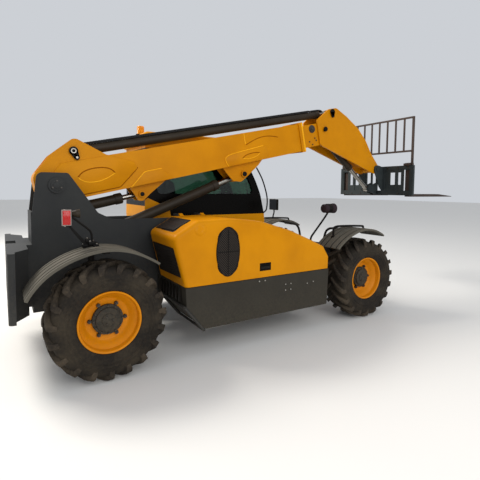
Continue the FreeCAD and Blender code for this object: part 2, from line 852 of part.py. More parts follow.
def make_hood_grilles():
    grilles = piece("hood_grilles")
    # Rear panel, trimmed to a sheet that follows the hood's rear wall
    grilles.pad(FRONT, [REAR_GRILLE], 600, 760)
    behind = [(590, 1140), (590, 840), (720.1, 840), (646.1, 1140)]
    ahead = [(770, 840), (728.1, 840), (654.1, 1140), (770, 1140)]
    grilles.cut(SIDE, [behind, ahead], -1010, -490)
    # Top panel, trimmed to a sheet that follows the sloped rear top
    grilles.pad(PLAN, [TOP_GRILLE], 1280, 1420)
    above = [(660, 1430), (660, 1295.3), (836, 1396.4), (836, 1430)]
    below = [(660, 1270), (836, 1270), (836, 1387.2), (660, 1286.1)]
    grilles.cut(SIDE, [above, below], -970, -510)
    face = -d.body_half
    grilles.pad(SIDE, [SIDE_GRILLE], face + 1, face + d.sheet_wall - 1)
    # Louvre slots through the three panels
    grilles.cut(FRONT, slots(885, 1090, 40, 20, lambda up: (-940, -590)), 600, 760)
    grilles.cut(PLAN, slots(-860, -640, 40, 20, lambda up: (700, 800)), 1280, 1420)
    grilles.cut(SIDE, slots(900, 1260, 40, 20, lambda up: (1135, 1325)), face, face + d.sheet_wall)
    return grilles


def make_tank_box():
    tank = piece("tank_box")
    outline = [
        (d.cab_rear, 330, 40),
        (2480, 330, 60),
        (2560, 420, 60),
        (2600, d.cab_floor - d.seam, 0),
        (d.cab_rear, d.cab_floor - d.seam, 0),
    ]
    tank.pad(SIDE, [outline], d.pod_in, d.body_half)
    # Pads under the cab
    corners = [ring(station, side, 60) for station in (900, 2400) for side in (400, 980)]
    tank.pad(PLAN, corners, d.cab_floor - d.seam, d.cab_floor)
    # Two steps let into the side below the door
    for low, high, depth in ((390, 560, 190), (610, 770, 240)):
        tank.cut(SIDE, [box(1620, low, 2180, high, 30)], d.body_half - depth, d.body_half + 1)
    return tank


CAB_FRONT = (
    # station, height, corner radius, from the sill to the waist and on to the head
    (2600, 800, 60),
    (2672, 1100, 300),
    (2646, 1380, 0),
    (2572, 1680, 400),
    (2492, 1860, 300),
    (2402, 2020, 300),
)
HEAD_FRONT = 2215


def door_outline(grow):
    front = [(station + grow, height, radius) for station, height, radius in (
        (2500, 880 - grow, 50),
        (2545, 1100, 150),
        (2520, 1400, 200),
        (2452, 1690, 300),
        (2385, 1840, 300),
        (2305, 1985, 300),
        (2140, 2262 + grow, 50),
    )]
    rear = [(d.door_rear - grow, 2262 + grow, 50), (d.door_rear - grow, 880 - grow, 50)]
    return front + rear


def door_panes():
    upper = [
        (d.door_rear + 50, 1450, 40),
        (2440, 1450, 40),
        (2385, 1680, 300),
        (2320, 1825, 300),
        (2240, 1970, 300),
        (2085, 2225, 50),
        (d.door_rear + 50, 2225, 50),
    ]
    lower = [
        (d.door_rear + 50, 960, 40),
        (2440, 960, 40),
        (2475, 1110, 100),
        (2452, 1400, 40),
        (d.door_rear + 50, 1400, 40),
    ]
    return [upper, lower]


RIGHT_PANE = (
    (930, 1680, 50),
    (2446, 1680, 50),
    (2386, 1830, 300),
    (2306, 1975, 300),
    (2110, 2262, 60),
    (900, 2262, 60),
)
REAR_QUARTER = ((860, 1680, 50), (1330, 1680, 50), (1330, 2262, 50), (860, 2262, 50))


def make_cab_tub():
    tub = piece("cab_tub")
    front = list(CAB_FRONT[:3])
    rear = [(d.cab_rear, d.waist), (d.cab_rear, d.cab_floor, 30)]
    tub.pad(SIDE, [front + rear], d.cab_step_side, d.cab_out)
    top = [
        (d.cab_rear, d.cab_step_height),
        (2672, d.cab_step_height),
        (2646, d.waist),
        (d.cab_rear, d.waist),
    ]
    tub.pad(SIDE, [top], d.cab_in, d.cab_step_side)
    wall = d.cab_wall
    floor = d.cab_floor + wall
    room = [
        (d.cab_rear + wall, floor),
        (2570, floor, 40),
        (2632, 1100, 200),
        (2602, d.waist + 1),
        (d.cab_rear + wall, d.waist + 1),
    ]
    tub.cut(SIDE, [room], d.cab_step_side + wall, d.cab_out - wall)
    step = [
        (d.cab_rear + wall, d.cab_step_height + wall),
        (2626, d.cab_step_height + wall),
        (2602, d.waist + 1),
        (d.cab_rear + wall, d.waist + 1),
    ]
    tub.cut(SIDE, [step], d.cab_in + wall, d.cab_step_side + wall + 1)
    tub.cut(SIDE, [door_outline(0)], d.cab_out - wall - 1, d.cab_out + 1)
    add_door_hinge(tub, d.hinge_lower)
    return tub


def make_cab_frame():
    cab = piece("cab_frame")
    outer = list(CAB_FRONT[2:]) + [(HEAD_FRONT, d.cab_head), (d.cab_rear + 12, d.cab_head), (d.cab_rear, d.waist)]
    cab.pad(SIDE, [outer], d.cab_in, d.cab_out)
    wall = d.cab_wall
    room = [
        (2602, d.waist - 1),
        (2532, 1680, 400),
        (2452, 1860, 300),
        (2362, 2020, 300),
        (2188, d.cab_head + 1),
        (d.cab_rear + wall + 12, d.cab_head + 1),
        (d.cab_rear + wall, d.waist - 1),
    ]
    cab.cut(SIDE, [room], d.cab_in + wall, d.cab_out - wall)
    cab.cut(SIDE, [list(RIGHT_PANE)], d.cab_in - 1, d.cab_in + wall + 1)
    cab.cut(SIDE, [list(REAR_QUARTER), door_outline(0)], d.cab_out - wall - 1, d.cab_out + 1)
    rear_pane = box(d.cab_in + d.post, 1640, d.cab_out - d.post, 2262, 50)
    cab.cut(FRONT, [rear_pane], d.cab_rear - 1, d.cab_rear + wall + 20)
    windscreen = box(d.cab_in + d.post, 1420, d.cab_out - d.post, 2262)
    cab.cut(FRONT, [windscreen], 1900, 2800)
    add_door_hinge(cab, d.hinge_upper)
    return cab


def add_door_hinge(made, height):
    # A bracket on the cab's side with an upright pin
    along = d.door_rear - d.hinge_back
    aside = d.cab_out + d.hinge_aside
    bracket = box(along - 32, d.cab_out, along + 10, aside + 10)
    made.pad(PLAN, [bracket], height, height + 14)
    made.pad(PLAN, [ring(along, aside, d.hinge_pin)], height, height + 80)


def make_cab_roof():
    roof = piece("cab_roof")
    outline = [
        (d.cab_rear - 25, d.cab_head),
        (HEAD_FRONT + 40, d.cab_head),
        (HEAD_FRONT + 30, d.roof_top - 60, 60),
        (HEAD_FRONT - 160, d.roof_top, 200),
        (d.cab_rear + 40, d.roof_top, 60),
        (d.cab_rear - 25, d.roof_top - 40, 30),
    ]
    roof.pad(SIDE, [outline], d.cab_in - 5, d.cab_out + 25)
    sides = (d.cab_in.value - 4, d.cab_out.value + 24)
    above = d.cab_head.value + 1
    round_edges(
        roof,
        d.roof_round,
        lambda room: room.ZMax > above and (room.YMax < sides[0] or room.YMin > sides[1]),
    )
    return roof


def make_cab_glass():
    glass = piece("cab_glass")
    thick = d.glass_thick
    middle = d.cab_wall / 2
    glass.pad(SIDE, [list(RIGHT_PANE)], d.cab_in + middle, d.cab_in + middle + thick)
    glass.pad(SIDE, [list(REAR_QUARTER)], d.cab_out - middle - thick, d.cab_out - middle)
    rear_pane = box(d.cab_in + d.post, 1640, d.cab_out - d.post, 2262, 50)
    glass.pad(FRONT, [rear_pane], d.cab_rear + 22, d.cab_rear + 22 + thick)
    outside = [(2630, 1420), (2566, 1680, 400), (2486, 1860, 300), (2396, 2020, 300), (2239, 2262)]
    inside = [(station - 8,) + tuple(rest) for station, *rest in reversed(outside)]
    glass.pad(SIDE, [outside + inside], d.cab_in + d.post, d.cab_out - d.post)
    return glass


def make_seat():
    seat = piece("seat")
    low = d.cab_floor + d.cab_wall
    seat.pad(SIDE, [box(1230, low, 1560, 1150, 20)], 520, 820)
    cushion = [(1180, 1150, 30), (1700, 1150, 50), (1700, 1270, 50), (1330, 1250, 40), (1240, 1860, 60), (1110, 1840, 50)]
    seat.pad(SIDE, [cushion], 430, 910)
    return seat


def make_console():
    console = piece("console")
    low = d.cab_floor + d.cab_wall
    dash = [(2250, low), (2520, low), (2580, 1100, 60), (2500, 1400, 60), (2330, 1430, 40), (2300, 1200, 80)]
    console.pad(SIDE, [dash], 480, 860)
    # Steering column and wheel, drawn upright about the column's axis and leaned back
    column = [(0, 0), (26, 0), (26, 330), (0, 330)]
    wheel = box(160, 320, 186, 346)
    seat = (2390, 1389, d.column_lean)
    middle = 670
    console.turn(SIDE, [column], "V_Axis", -middle, seat)
    console.turn(SIDE, [wheel], "V_Axis", -middle, seat)
    console.pad(SIDE, [box(-165, 322, 165, 336)], middle - 12, middle + 12, seat)
    console.pad(SIDE, [box(-12, 322, 12, 336)], middle - 165, middle + 165, seat)
    return console


def make_door_frame():
    door = piece("door_frame")
    low = d.cab_out + d.seam
    high = low + d.door_thick
    door.pad(SIDE, [door_outline(20)], low, high)
    door.cut(SIDE, door_panes(), low - 1, high + 1)
    along = d.door_rear - d.hinge_back
    aside = d.cab_out + d.hinge_aside
    for height in (d.hinge_lower, d.hinge_upper):
        sleeve = ring(along, aside, d.hinge_pin + 7)
        arm = box(along, aside - 7, d.door_rear + 1, aside + 7)
        door.pad(PLAN, [arm], height + 20, height + 78)
        door.pad(PLAN, [sleeve], height + 20, height + 78)
        bore = ring(along, aside, d.hinge_pin + d.pin_gap)
        door.cut(PLAN, [bore], height + 19, height + 79)
    return door


def make_door_glass():
    glass = piece("door_glass")
    middle = d.cab_out + d.seam + d.door_thick / 2
    glass.pad(SIDE, door_panes(), middle - d.glass_thick / 2, middle + d.glass_thick / 2)
    return glass


# Fender bands about the wheel's centre. Columns: angle, how much wider than the fender's radius.
# Each band opens out where the steered tyre swings through.
FRONT_BAND = ((58, 0), (69, 0), (80, 0), (90, 0), (100, 0), (110, 2), (120, 8), (130, 18), (141, 32))
REAR_BAND = ((42, 34), (52, 12), (64, 2), (80, 0), (96, 0), (112, 2), (126, 18), (140, 42), (157, 66))


def fender_outline(centre, radius, band):
    inner = []
    outer = []
    for degrees, wider in band:
        angle = math.radians(degrees)
        near = radius + wider
        far = near + d.fender_thick
        inner.append((centre + near * math.cos(angle), axle_height + near * math.sin(angle)))
        outer.append((centre + far * math.cos(angle), axle_height + far * math.sin(angle)))
    return outer + inner[::-1]


def make_fenders():
    fenders = piece("fenders")
    # Columns: wheel centre, inner radius, band
    arches = (
        (front_axle, d.front_fender_radius, FRONT_BAND),
        (rear_axle, d.rear_fender_radius, REAR_BAND),
    )
    for centre, radius, band in arches:
        outline = fender_outline(centre, radius, band)
        fenders.both_pads(SIDE, [outline], d.fender_in, d.fender_out)
        arm_top = axle_height + radius + 5
        arm = box(centre - 30, arm_top - 40, centre + 30, arm_top)
        fenders.both_pads(SIDE, [arm], plate_out, d.fender_out - 100)
        riser = box(centre - 30, d.sill_top - 80, centre + 30, arm_top)
        fenders.both_pads(SIDE, [riser], plate_out, plate_out + 14)
    # Bent rail over each front fender
    rail = [
        (3129, 1125),
        (3151, 1125),
        (3151, 1218),
        (3206, 1240),
        (3598, 1240),
        (3598, 1165),
        (3620, 1165),
        (3620, 1262, 16),
        (3200, 1262, 20),
        (3129, 1234, 20),
    ]
    fenders.both_pads(SIDE, [rail], 840, 862)
    # Feet for the tail lamps and the left mirror
    fenders.both_pads(SIDE, [box(-165, 1168, -105, 1196)], 770, 810)
    fenders.pad(SIDE, [box(3425, 1195, 3472, 1216)], 1030, 1076)
    return fenders


def make_tail_lamps():
    lamps = piece("tail_lamps")
    for side in (1, -1):
        near, far = sorted((side * 740, side * 840))
        lamps.pad(SIDE, [box(-318, 1390, -268, 1550, 12)], near, far)
        arm = [(-290, 1390), (-268, 1390), (-120, 1215), (-120, 1196), (-150, 1196)]
        near, far = sorted((side * 775, side * 805))
        lamps.pad(SIDE, [arm], near, far)
    return lamps


def make_head_lamps():
    lamps = piece("head_lamps")
    for side in (1, -1):
        near, far = sorted((side * plate_out.value, side * (plate_out.value + 110)))
        lamps.pad(SIDE, [box(3600, 760, 3690, 880, 20)], near, far)
    return lamps


def make_beacon():
    beacon = piece("beacon", chassis_base(880, 760, d.roof_top))
    dome = [(0, 0), (62, 0), (62, 26), (52, 30), (50, 100, 26), (22, 142, 10), (0, 142)]
    beacon.turn(SIDE, [dome], "V_Axis")
    return beacon


def make_mirrors():
    mirrors = piece("mirrors")
    mirrors.pad(SIDE, [box(3430, 1400, 3470, 1600, 14)], 960, 1150)
    # The right head is a short drum that faces forward
    mirrors.pad(FRONT, [ring(-705, 1490, 66)], 3062, 3128)
    right_arm = [(2820, 930), (2850, 930), (2850, 1060), (3122, 1440), (3086, 1440), (2820, 1070)]
    mirrors.pad(SIDE, [right_arm], -720, -690)
    mirrors.pad(SIDE, [box(2820, 930, 2850, 960)], -720, -plate_out)
    left_arm = box(3435, 1216, 3462, 1400)
    mirrors.pad(SIDE, [left_arm], 1040, 1066)
    return mirrors


def make_boom_outer():
    boom = piece("boom_outer", boom_base, d.boom_angle)
    side = [
        (d.boom_end, d.boom_low),
        (d.boom_end, d.boom_top),
        (591, d.boom_top, 60),
        (d.hump_pin_along + 40, d.extend_up + 140, 75),
        (20, 320, 80),
        (-190, 130, 120),
        (-190, d.boom_low, 150),
    ]
    boom.pad(SIDE, [side], -d.boom_half, d.boom_half)
    wall = d.boom_wall
    inside = box(110, d.boom_low + wall, d.boom_end + 1, d.boom_top - wall)
    boom.cut(SIDE, [inside], -d.boom_half + wall, d.boom_half - wall)
    # The hump is two cheeks with the rear pin of the long cylinder across them
    gap = d.boom_half - 40
    between = [(760, d.boom_top), (760, 600), (-260, 600), (-260, 150), (150, d.boom_top)]
    boom.cut(SIDE, [between], -gap, gap)
    pin = ring(d.hump_pin_along, d.extend_up, d.pin_radius)
    boom.pad(SIDE, [pin], -d.boom_half - 14, d.boom_half + 14)
    # Pivot hub with its bore
    hub = ring(0, 0, 95)
    boom.both_pads(SIDE, [hub], d.boom_half - 1, d.plate_side - d.seam)
    boom.cut(SIDE, [ring(0, 0, d.pivot_radius + d.pin_gap)], -d.plate_side, d.plate_side)
    # Collar of wear pads at the front end
    collar = box(d.boom_end - 70, d.boom_low - 18, d.boom_end, d.boom_top + 18)
    boom.both_pads(SIDE, [collar], d.boom_half - 1, d.boom_half + 18)
    flat = box(d.boom_end - 70, d.boom_top - 1, d.boom_end, d.boom_top + 18)
    foot = box(d.boom_end - 70, d.boom_low - 18, d.boom_end, d.boom_low + 1)
    boom.pad(SIDE, [flat, foot], -d.boom_half, d.boom_half)
    # Brackets under the boom for the rods of the two lower cylinders
    under = d.boom_low + 1
    cheek = d.lift_eye_half + d.eye_gap
    lift = [
        (2050, under),
        (2116, -295),
        (2177, -390, 30),
        (2302, -428, 60),
        (2417, -372, 40),
        (2638, -250, 60),
        (2720, under),
    ]
    boom.both_pads(SIDE, [lift], cheek, cheek + d.cheek_thick)
    boss = ring(d.lift_pin_along, d.lift_pin_up, 48)
    boom.both_pads(SIDE, [boss], cheek + d.cheek_thick, cheek + d.cheek_thick + 24)
    cheek = d.level_eye_half + d.eye_gap
    level = [
        (770, under),
        (816, -293),
        (842, -361, 25),
        (900, -374, 30),
        (996, -313, 40),
        (1240, under),
    ]
    boom.both_pads(SIDE, [level], cheek, cheek + d.cheek_thick)
    boss = ring(d.level_pin_along, d.level_pin_up, 40)
    boom.both_pads(SIDE, [boss], cheek + d.cheek_thick, cheek + d.cheek_thick + 20)
    return boom


def make_extend_barrel():
    barrel = piece("extend_barrel", boom_base, d.boom_angle)
    rear = d.hump_pin_along
    eye = ring(rear, d.extend_up, d.extend_radius)
    gap = d.boom_half - 40 - d.seam
    barrel.pad(SIDE, [eye], -45, 45)
    end = rear + 3700
    tube = ring(0, d.extend_up, d.extend_radius)
    barrel.pad(FRONT, [tube], rear + 20, end)
    bore = ring(0, d.extend_up, d.extend_rod_radius + 0.5)
    barrel.cut(FRONT, [bore], rear + 120, end + 1)
    pin = ring(rear, d.extend_up, d.pin_radius)
    barrel.cut(SIDE, [pin], -gap, gap)
    return barrel


def make_hose_chain():
    chain = piece("hose_chain", boom_base, d.boom_angle)
    low = d.extend_up + d.extend_radius
    start = d.hump_pin_along + 120
    strip = box(-34, low, 34, low + 38)
    chain.pad(FRONT, [strip], start, d.hump_pin_along + 3560)
    # Link plates stand proud of the strip at an even step
    link = chain.pad(SIDE, [box(start + 60, low + 4, start + 94, low + 46)], -38, 38)
    chain.repeat(link, "X_Axis", 3240, 37)
    return chain


HEAD_SIDE = (
    # along the boom, up from the pivot line, corner radius
    (3810, 231, 20),
    (4093, 372, 80),
    (4262, 372, 80),
    (4470, 215, 150),
    (4712, -10, 200),
    (4866, -240, 200),
    (4962, -471, 150),
)


def make_boom_inner():
    boom = piece("boom_inner", boom_base, d.boom_angle)
    half = d.inner_half
    wall = d.inner_wall
    section = box(-half, d.inner_low, half, d.inner_top)
    boom.pad(FRONT, [section], d.inner_rear, d.inner_front)
    hollow = box(-half + wall, d.inner_low + wall, half - wall, d.inner_top - wall)
    boom.cut(FRONT, [hollow], d.inner_rear - 1, d.inner_front + 1)
    tip = d.carriage_along
    head = list(HEAD_SIDE)
    head += [
        (tip + 62, d.carriage_up + 50, 50),
        (tip + 20, d.carriage_up - 85, 50),
        (tip - 85, d.carriage_up - 55, 40),
        (3845, d.inner_low - 16, 30),
        (3810, d.inner_low + 20, 20),
    ]
    cheek = d.head_cheek
    boom.both_pads(SIDE, [head], half - 1, half - 1 + cheek)
    # Closing plate along the top and front of the head
    outer = [(4222, 372, 0)] + list(HEAD_SIDE[2:])
    nose = [(along - 20, up - 20, radius) for along, up, radius in outer[1:]]
    plate = outer + [(4992, -560), (4968, -566)] + nose[::-1] + [(4206, 352)]
    boom.pad(SIDE, [plate], -half, half)
    # Pins of the long cylinder and the tilt cylinder, and the tube at the tip
    far = half + cheek + 12
    for along, up in ((d.head_pin_along, d.extend_up), (d.tilt_base_along, d.tilt_base_up)):
        boom.pad(SIDE, [ring(along, up, d.pin_radius)], -far, far)
    boom.pad(SIDE, [ring(tip, d.carriage_up, 58)], -half, half)
    boom.cut(SIDE, [ring(tip, d.carriage_up, d.pin_radius + d.pin_gap)], -far, far)
    return boom


def make_extend_rod():
    rod = piece("extend_rod", boom_base, d.boom_angle)
    tube = ring(0, d.extend_up, d.extend_rod_radius)
    rod.pad(FRONT, [tube], d.head_pin_along - d.extend_stroke - 350, d.head_pin_along - 20)
    rod.pad(SIDE, [ring(d.head_pin_along, d.extend_up, 46)], -d.eye_half, d.eye_half)
    bore = ring(d.head_pin_along, d.extend_up, d.pin_radius)
    rod.cut(SIDE, [bore], -d.eye_half - 1, d.eye_half + 1)
    return rod


def make_barrel(label, base, angle, long, radius, rod_radius):
    barrel = piece(label, base, angle)
    barrel.pad(SIDE, [ring(0, 0, d.pin_radius + 25)], -d.eye_half, d.eye_half)
    barrel.pad(SIDE, [box(0, -38, 84, 38)], -d.eye_half, d.eye_half)
    barrel.pad(FRONT, [ring(0, 0, radius)], 80, long)
    barrel.pad(FRONT, [ring(0, 0, radius + 7)], long - 60, long - 8)
    barrel.cut(FRONT, [ring(0, 0, rod_radius + 0.5)], 130, long + 1)
    barrel.cut(SIDE, [ring(0, 0, d.pin_radius + d.pin_gap)], -d.eye_half - 1, d.eye_half + 1)
    return barrel


def make_rod(label, base, angle, reach, long, radius, eye_half):
    rod = piece(label, base, angle)
    rod.pad(FRONT, [ring(0, 0, radius)], reach - long, reach - 20)
    rod.pad(SIDE, [ring(reach, 0, 46)], -eye_half, eye_half)
    rod.cut(SIDE, [ring(reach, 0, 24)], -eye_half - 1, eye_half + 1)
    return rod


def make_cylinders():
    # Columns: name, pin at the barrel, pin at the rod, barrel and rod sizes
    carriage_pin = boom_point(d.carriage_along, d.carriage_up)
    tilt_pin = (carriage_pin[0] - d.tilt_pin_back, carriage_pin[1] - d.tilt_pin_down)
    cylinders = (
        (
            "lift",
            (d.lift_base_station, d.lift_base_height),
            boom_point(d.lift_pin_along, d.lift_pin_up),
            (d.lift_barrel_long, d.lift_barrel_radius),
            (d.lift_rod_long, d.lift_rod_radius, d.lift_eye_half),
        ),
        (
            "level",
            (d.level_base_station, d.level_base_height),
            boom_point(d.level_pin_along, d.level_pin_up),
            (d.level_barrel_long, d.level_barrel_radius),
            (d.level_rod_long, d.level_rod_radius, d.level_eye_half),
        ),
        (
            "tilt",
            boom_point(d.tilt_base_along, d.tilt_base_up),
            tilt_pin,
            (d.tilt_barrel_long, d.tilt_barrel_radius),
            (d.tilt_rod_long, d.tilt_rod_radius, d.eye_half),
        ),
    )
    for name, foot, eye, barrel, rod in cylinders:
        across = eye[0] - foot[0]
        up = eye[1] - foot[1]
        base = chassis_base(foot[0], 0, foot[1])
        angle = slope_of(across, up)
        make_barrel(name + "_barrel", base, angle, barrel[0], barrel[1], rod[1])
        make_rod(name + "_rod", base, angle, length_of(across, up), *rod)


def carriage_base():
    station, height = boom_point(d.carriage_along, d.carriage_up)
    return chassis_base(station, 0, height)


def make_carriage():
    carriage = piece("carriage", carriage_base())
    face = d.fork_face
    front = face + 40
    half = d.carriage_half
    low = d.fork_under + 20
    # Rails, then the uprights that join them
    carriage.pad(SIDE, [box(face, -20, front, 50), box(face, low, front, low + 80)], -half, half)
    uprights = ((half - 50, half), (165, 235), (440, 480))
    for near, far in uprights:
        carriage.both_pads(SIDE, [box(face, low, front, 50)], near, far)
    ear_side = d.inner_half + d.head_cheek + d.seam
    ear = [
        (-66, -30, 50),
        (-50, 66, 50),
        (40, 66, 30),
        (face, 40, 0),
        (face, -380, 0),
        (70, -300, 60),
    ]
    carriage.both_pads(SIDE, [ear], ear_side, ear_side + d.cheek_thick)
    pin = ring(0, 0, d.pin_radius)
    carriage.pad(SIDE, [pin], -ear_side - d.cheek_thick - 14, ear_side + d.cheek_thick + 14)
    cheek = d.eye_half + d.eye_gap
    lug = [
        (-d.tilt_pin_back - 52, -d.tilt_pin_down + 40, 46),
        (-d.tilt_pin_back - 40, -d.tilt_pin_down - 56, 46),
        (-d.tilt_pin_back + 50, -d.tilt_pin_down - 60, 30),
        (face, low + 10, 0),
        (face, low + 220, 0),
        (20, -d.tilt_pin_down + 66, 40),
    ]
    carriage.both_pads(SIDE, [lug], cheek, cheek + d.cheek_thick)
    boss = ring(-d.tilt_pin_back, -d.tilt_pin_down, 42)
    carriage.both_pads(SIDE, [boss], cheek + d.cheek_thick, cheek + d.cheek_thick + 20)
    # Short plate that ties each lug to the upright beside it
    tie = box(face, low, front, 50)
    carriage.both_pads(SIDE, [tie], cheek, cheek + d.cheek_thick)
    return carriage


def make_backrest():
    rest = piece("backrest", carriage_base())
    face = d.fork_face + 10
    bar = d.grid_bar
    half = d.grid_half
    rails = [box(-half, d.grid_low, half, d.grid_low + bar), box(-half, d.grid_top - bar, half, d.grid_top)]
    rest.pad(FRONT, rails, face, face + bar)
    step = (half * 2 - bar) / (d.grid_count - 1)
    for index in range(int(d.grid_count.value)):
        left = -half + step * index
        foot = as_size(50) if index in (0, int(d.grid_count.value) - 1) else d.grid_low
        rest.pad(FRONT, [box(left, foot, left + bar, d.grid_top)], face, face + bar)
    return rest


def make_forks():
    forks = piece("forks", carriage_base())
    back = d.fork_face + 40
    thick = d.fork_thick
    low = d.fork_under
    tip = d.fork_face + 50 + d.fork_long
    side = [
        (back, low),
        (back + 60, low, 0),
        (tip, low, 0),
        (tip, low + 10, 0),
        (tip - 420, low + thick, 0),
        (back + thick, low + thick, 20),
        (back + thick, 95, 10),
        (back, 95, 0),
    ]
    hook = [(back - 62, 50), (back, 50), (back, 95), (back - 62, 80)]
    forks.both_pads(SIDE, [side], d.fork_side - d.fork_wide / 2, d.fork_side + d.fork_wide / 2)
    forks.both_pads(SIDE, [hook], d.fork_side - d.fork_wide / 2, d.fork_side + d.fork_wide / 2)
    return forks


def make_wheels():
    # Columns: name, axle station, side
    corners = (
        ("front_left", front_axle, 1),
        ("front_right", front_axle, -1),
        ("rear_left", rear_axle, 1),
        ("rear_right", rear_axle, -1),
    )
    for name, centre, side in corners:
        make_knuckle("knuckle_" + name, centre, side)
        make_tyre("tyre_" + name, centre, side)
        make_rim("rim_" + name, centre, side)


make_frame()
make_counterweight()
make_axle("front_axle", front_axle)
make_axle("rear_axle", rear_axle)
make_driveline()
make_engine_block()
make_pod_tray()
make_hood_shell()
make_hood_grilles()
make_tank_box()
make_cab_tub()
make_cab_frame()
make_cab_roof()
make_cab_glass()
make_seat()
make_console()
make_door_frame()
make_door_glass()
make_fenders()
make_tail_lamps()
make_head_lamps()
make_beacon()
make_mirrors()
make_boom_outer()
make_extend_barrel()
make_hose_chain()
make_boom_inner()
make_extend_rod()
make_cylinders()
make_carriage()
make_backrest()
make_forks()
make_wheels()

doc.recompute()


def faults():
    found = []
    for item in doc.Objects:
        if "Invalid" in item.State or "Error" in item.State:
            found.append(item.Label + " " + " ".join(item.State))
    for body in pieces:
        if body.Shape.isNull() or not body.Shape.isValid():
            found.append(body.Label + " has no valid shape")
    return found


wrong = faults()
if wrong:
    raise RuntimeError("; ".join(wrong))

os.makedirs("parts", exist_ok=True)
for body in pieces:
    body.Shape.exportStep(os.path.join("parts", body.Label + ".step"))
    print(body.Label, len(body.Shape.Solids), round(body.Shape.Volume / 1e9, 4))
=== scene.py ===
import bmesh
import bpy
import math
from mathutils import Matrix, Vector


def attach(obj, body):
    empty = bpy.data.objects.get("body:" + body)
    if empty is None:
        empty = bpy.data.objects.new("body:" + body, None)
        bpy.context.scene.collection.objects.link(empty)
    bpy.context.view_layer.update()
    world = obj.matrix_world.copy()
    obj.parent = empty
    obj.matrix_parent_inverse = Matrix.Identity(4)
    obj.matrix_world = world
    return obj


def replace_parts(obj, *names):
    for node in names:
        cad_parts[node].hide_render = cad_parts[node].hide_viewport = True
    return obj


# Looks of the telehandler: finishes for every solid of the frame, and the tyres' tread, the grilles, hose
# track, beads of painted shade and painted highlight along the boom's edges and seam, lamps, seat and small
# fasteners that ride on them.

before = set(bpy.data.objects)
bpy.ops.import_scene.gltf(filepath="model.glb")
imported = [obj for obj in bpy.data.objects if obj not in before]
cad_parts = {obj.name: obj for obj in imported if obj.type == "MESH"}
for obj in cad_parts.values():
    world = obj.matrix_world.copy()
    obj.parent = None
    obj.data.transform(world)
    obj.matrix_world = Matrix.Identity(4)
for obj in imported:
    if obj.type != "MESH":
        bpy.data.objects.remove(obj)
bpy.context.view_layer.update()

# Places of the machine in metres, as in the part: X forward, Y left, Z up
REAR_AXLE = -2.69495
WHEELBASE = 3.44
AXLE_HEIGHT = 0.5375
WHEEL_SIDE = 0.95
PIVOT = Vector((REAR_AXLE - 0.32, 0.0, 1.77))
BOOM_ANGLE = math.radians(12.5)
ON_BOOM = Matrix.Translation(PIVOT) @ Matrix.Rotation(-BOOM_ANGLE, 4, "Y")
BOOM_HALF = 0.17
# Pins along and up the boom: of the long cylinder in the hump, and of the two cylinders below
HUMP_PIN = (0.253, 0.320)
LEVEL_PIN = (0.898, -0.291)
LIFT_PIN = (2.365, -0.330)
HOOD_SIDE = -1.1
SIDES = (("left", 1), ("right", -1))
WHEELS = (
    # name, axle's X, side
    ("front_left", REAR_AXLE + WHEELBASE, 1),
    ("front_right", REAR_AXLE + WHEELBASE, -1),
    ("rear_left", REAR_AXLE, 1),
    ("rear_right", REAR_AXLE, -1),
)


class Wire:
    """A shader socket that takes part in plain sums."""

    def __init__(self, finish, socket):
        self.finish = finish
        self.socket = socket

    def math(self, operation, *values):
        return self.finish.node("ShaderNodeMath", {"operation": operation}, dict(enumerate(values)))

    def __add__(self, other):
        return self.math("ADD", self, other)

    def __sub__(self, other):
        return self.math("SUBTRACT", self, other)

    def __rsub__(self, other):
        return self.math("SUBTRACT", other, self)

    def __mul__(self, other):
        return self.math("MULTIPLY", self, other)

    __radd__ = __add__
    __rmul__ = __mul__

    def clipped(self):
        return self.finish.node("ShaderNodeClamp", {}, {0: self})

    def ramp(self, low, high):
        return self.finish.node("ShaderNodeMapRange", {"clamp": True}, {0: self, 1: low, 2: high})


class Finish:
    """A node material, made by naming nodes and what feeds them."""

    def __init__(self, name):
        self.material = bpy.data.materials.new(name)
        self.material.use_nodes = True
        self.tree = self.material.node_tree
        self.shader = self.tree.nodes["Principled BSDF"]
        self.place = self.node("ShaderNodeTexCoord", {}, {}, "Object")

    def node(self, kind, settings, sockets, out=0):
        made = self.tree.nodes.new(kind)
        for key, value in settings.items():
            setattr(made, key, value)
        for key, value in sockets.items():
            self.feed(made.inputs[key], value)
        return Wire(self, made.outputs[out])

    def feed(self, socket, value):
        if isinstance(value, Wire):
            self.tree.links.new(value.socket, socket)
        elif socket.type == "RGBA" and len(value) == 3:
            socket.default_value = (*value, 1.0)
        else:
            socket.default_value = value

    def set(self, **values):
        for key, value in values.items():
            self.feed(self.shader.inputs[key.replace("_", " ")], value)
        return self

    def noise(self, scale, detail=4.0, rough=0.55):
        sockets = {"Vector": self.place, "Scale": scale, "Detail": detail, "Roughness": rough}
        return self.node("ShaderNodeTexNoise", {}, sockets)

    def mix(self, share, first, second):
        settings = {"data_type": "RGBA"}
        return self.node("ShaderNodeMix", settings, {0: share, 6: first, 7: second}, 2)

    def axis(self, letter):
        return self.node("ShaderNodeSeparateXYZ", {}, {0: self.place}, "XYZ".index(letter))

    def bump(self, height, strength, distance):
        return self.node("ShaderNodeBump", {}, {"Height": height, "Strength": strength, "Distance": distance})


def srgb(red, green, blue):
    def linear(value):
        value /= 255
        return value / 12.92 if value <= 0.04045 else ((value + 0.055) / 1.055) ** 2.4

    return linear(red), linear(green), linear(blue)


DUST = srgb(126, 112, 92)


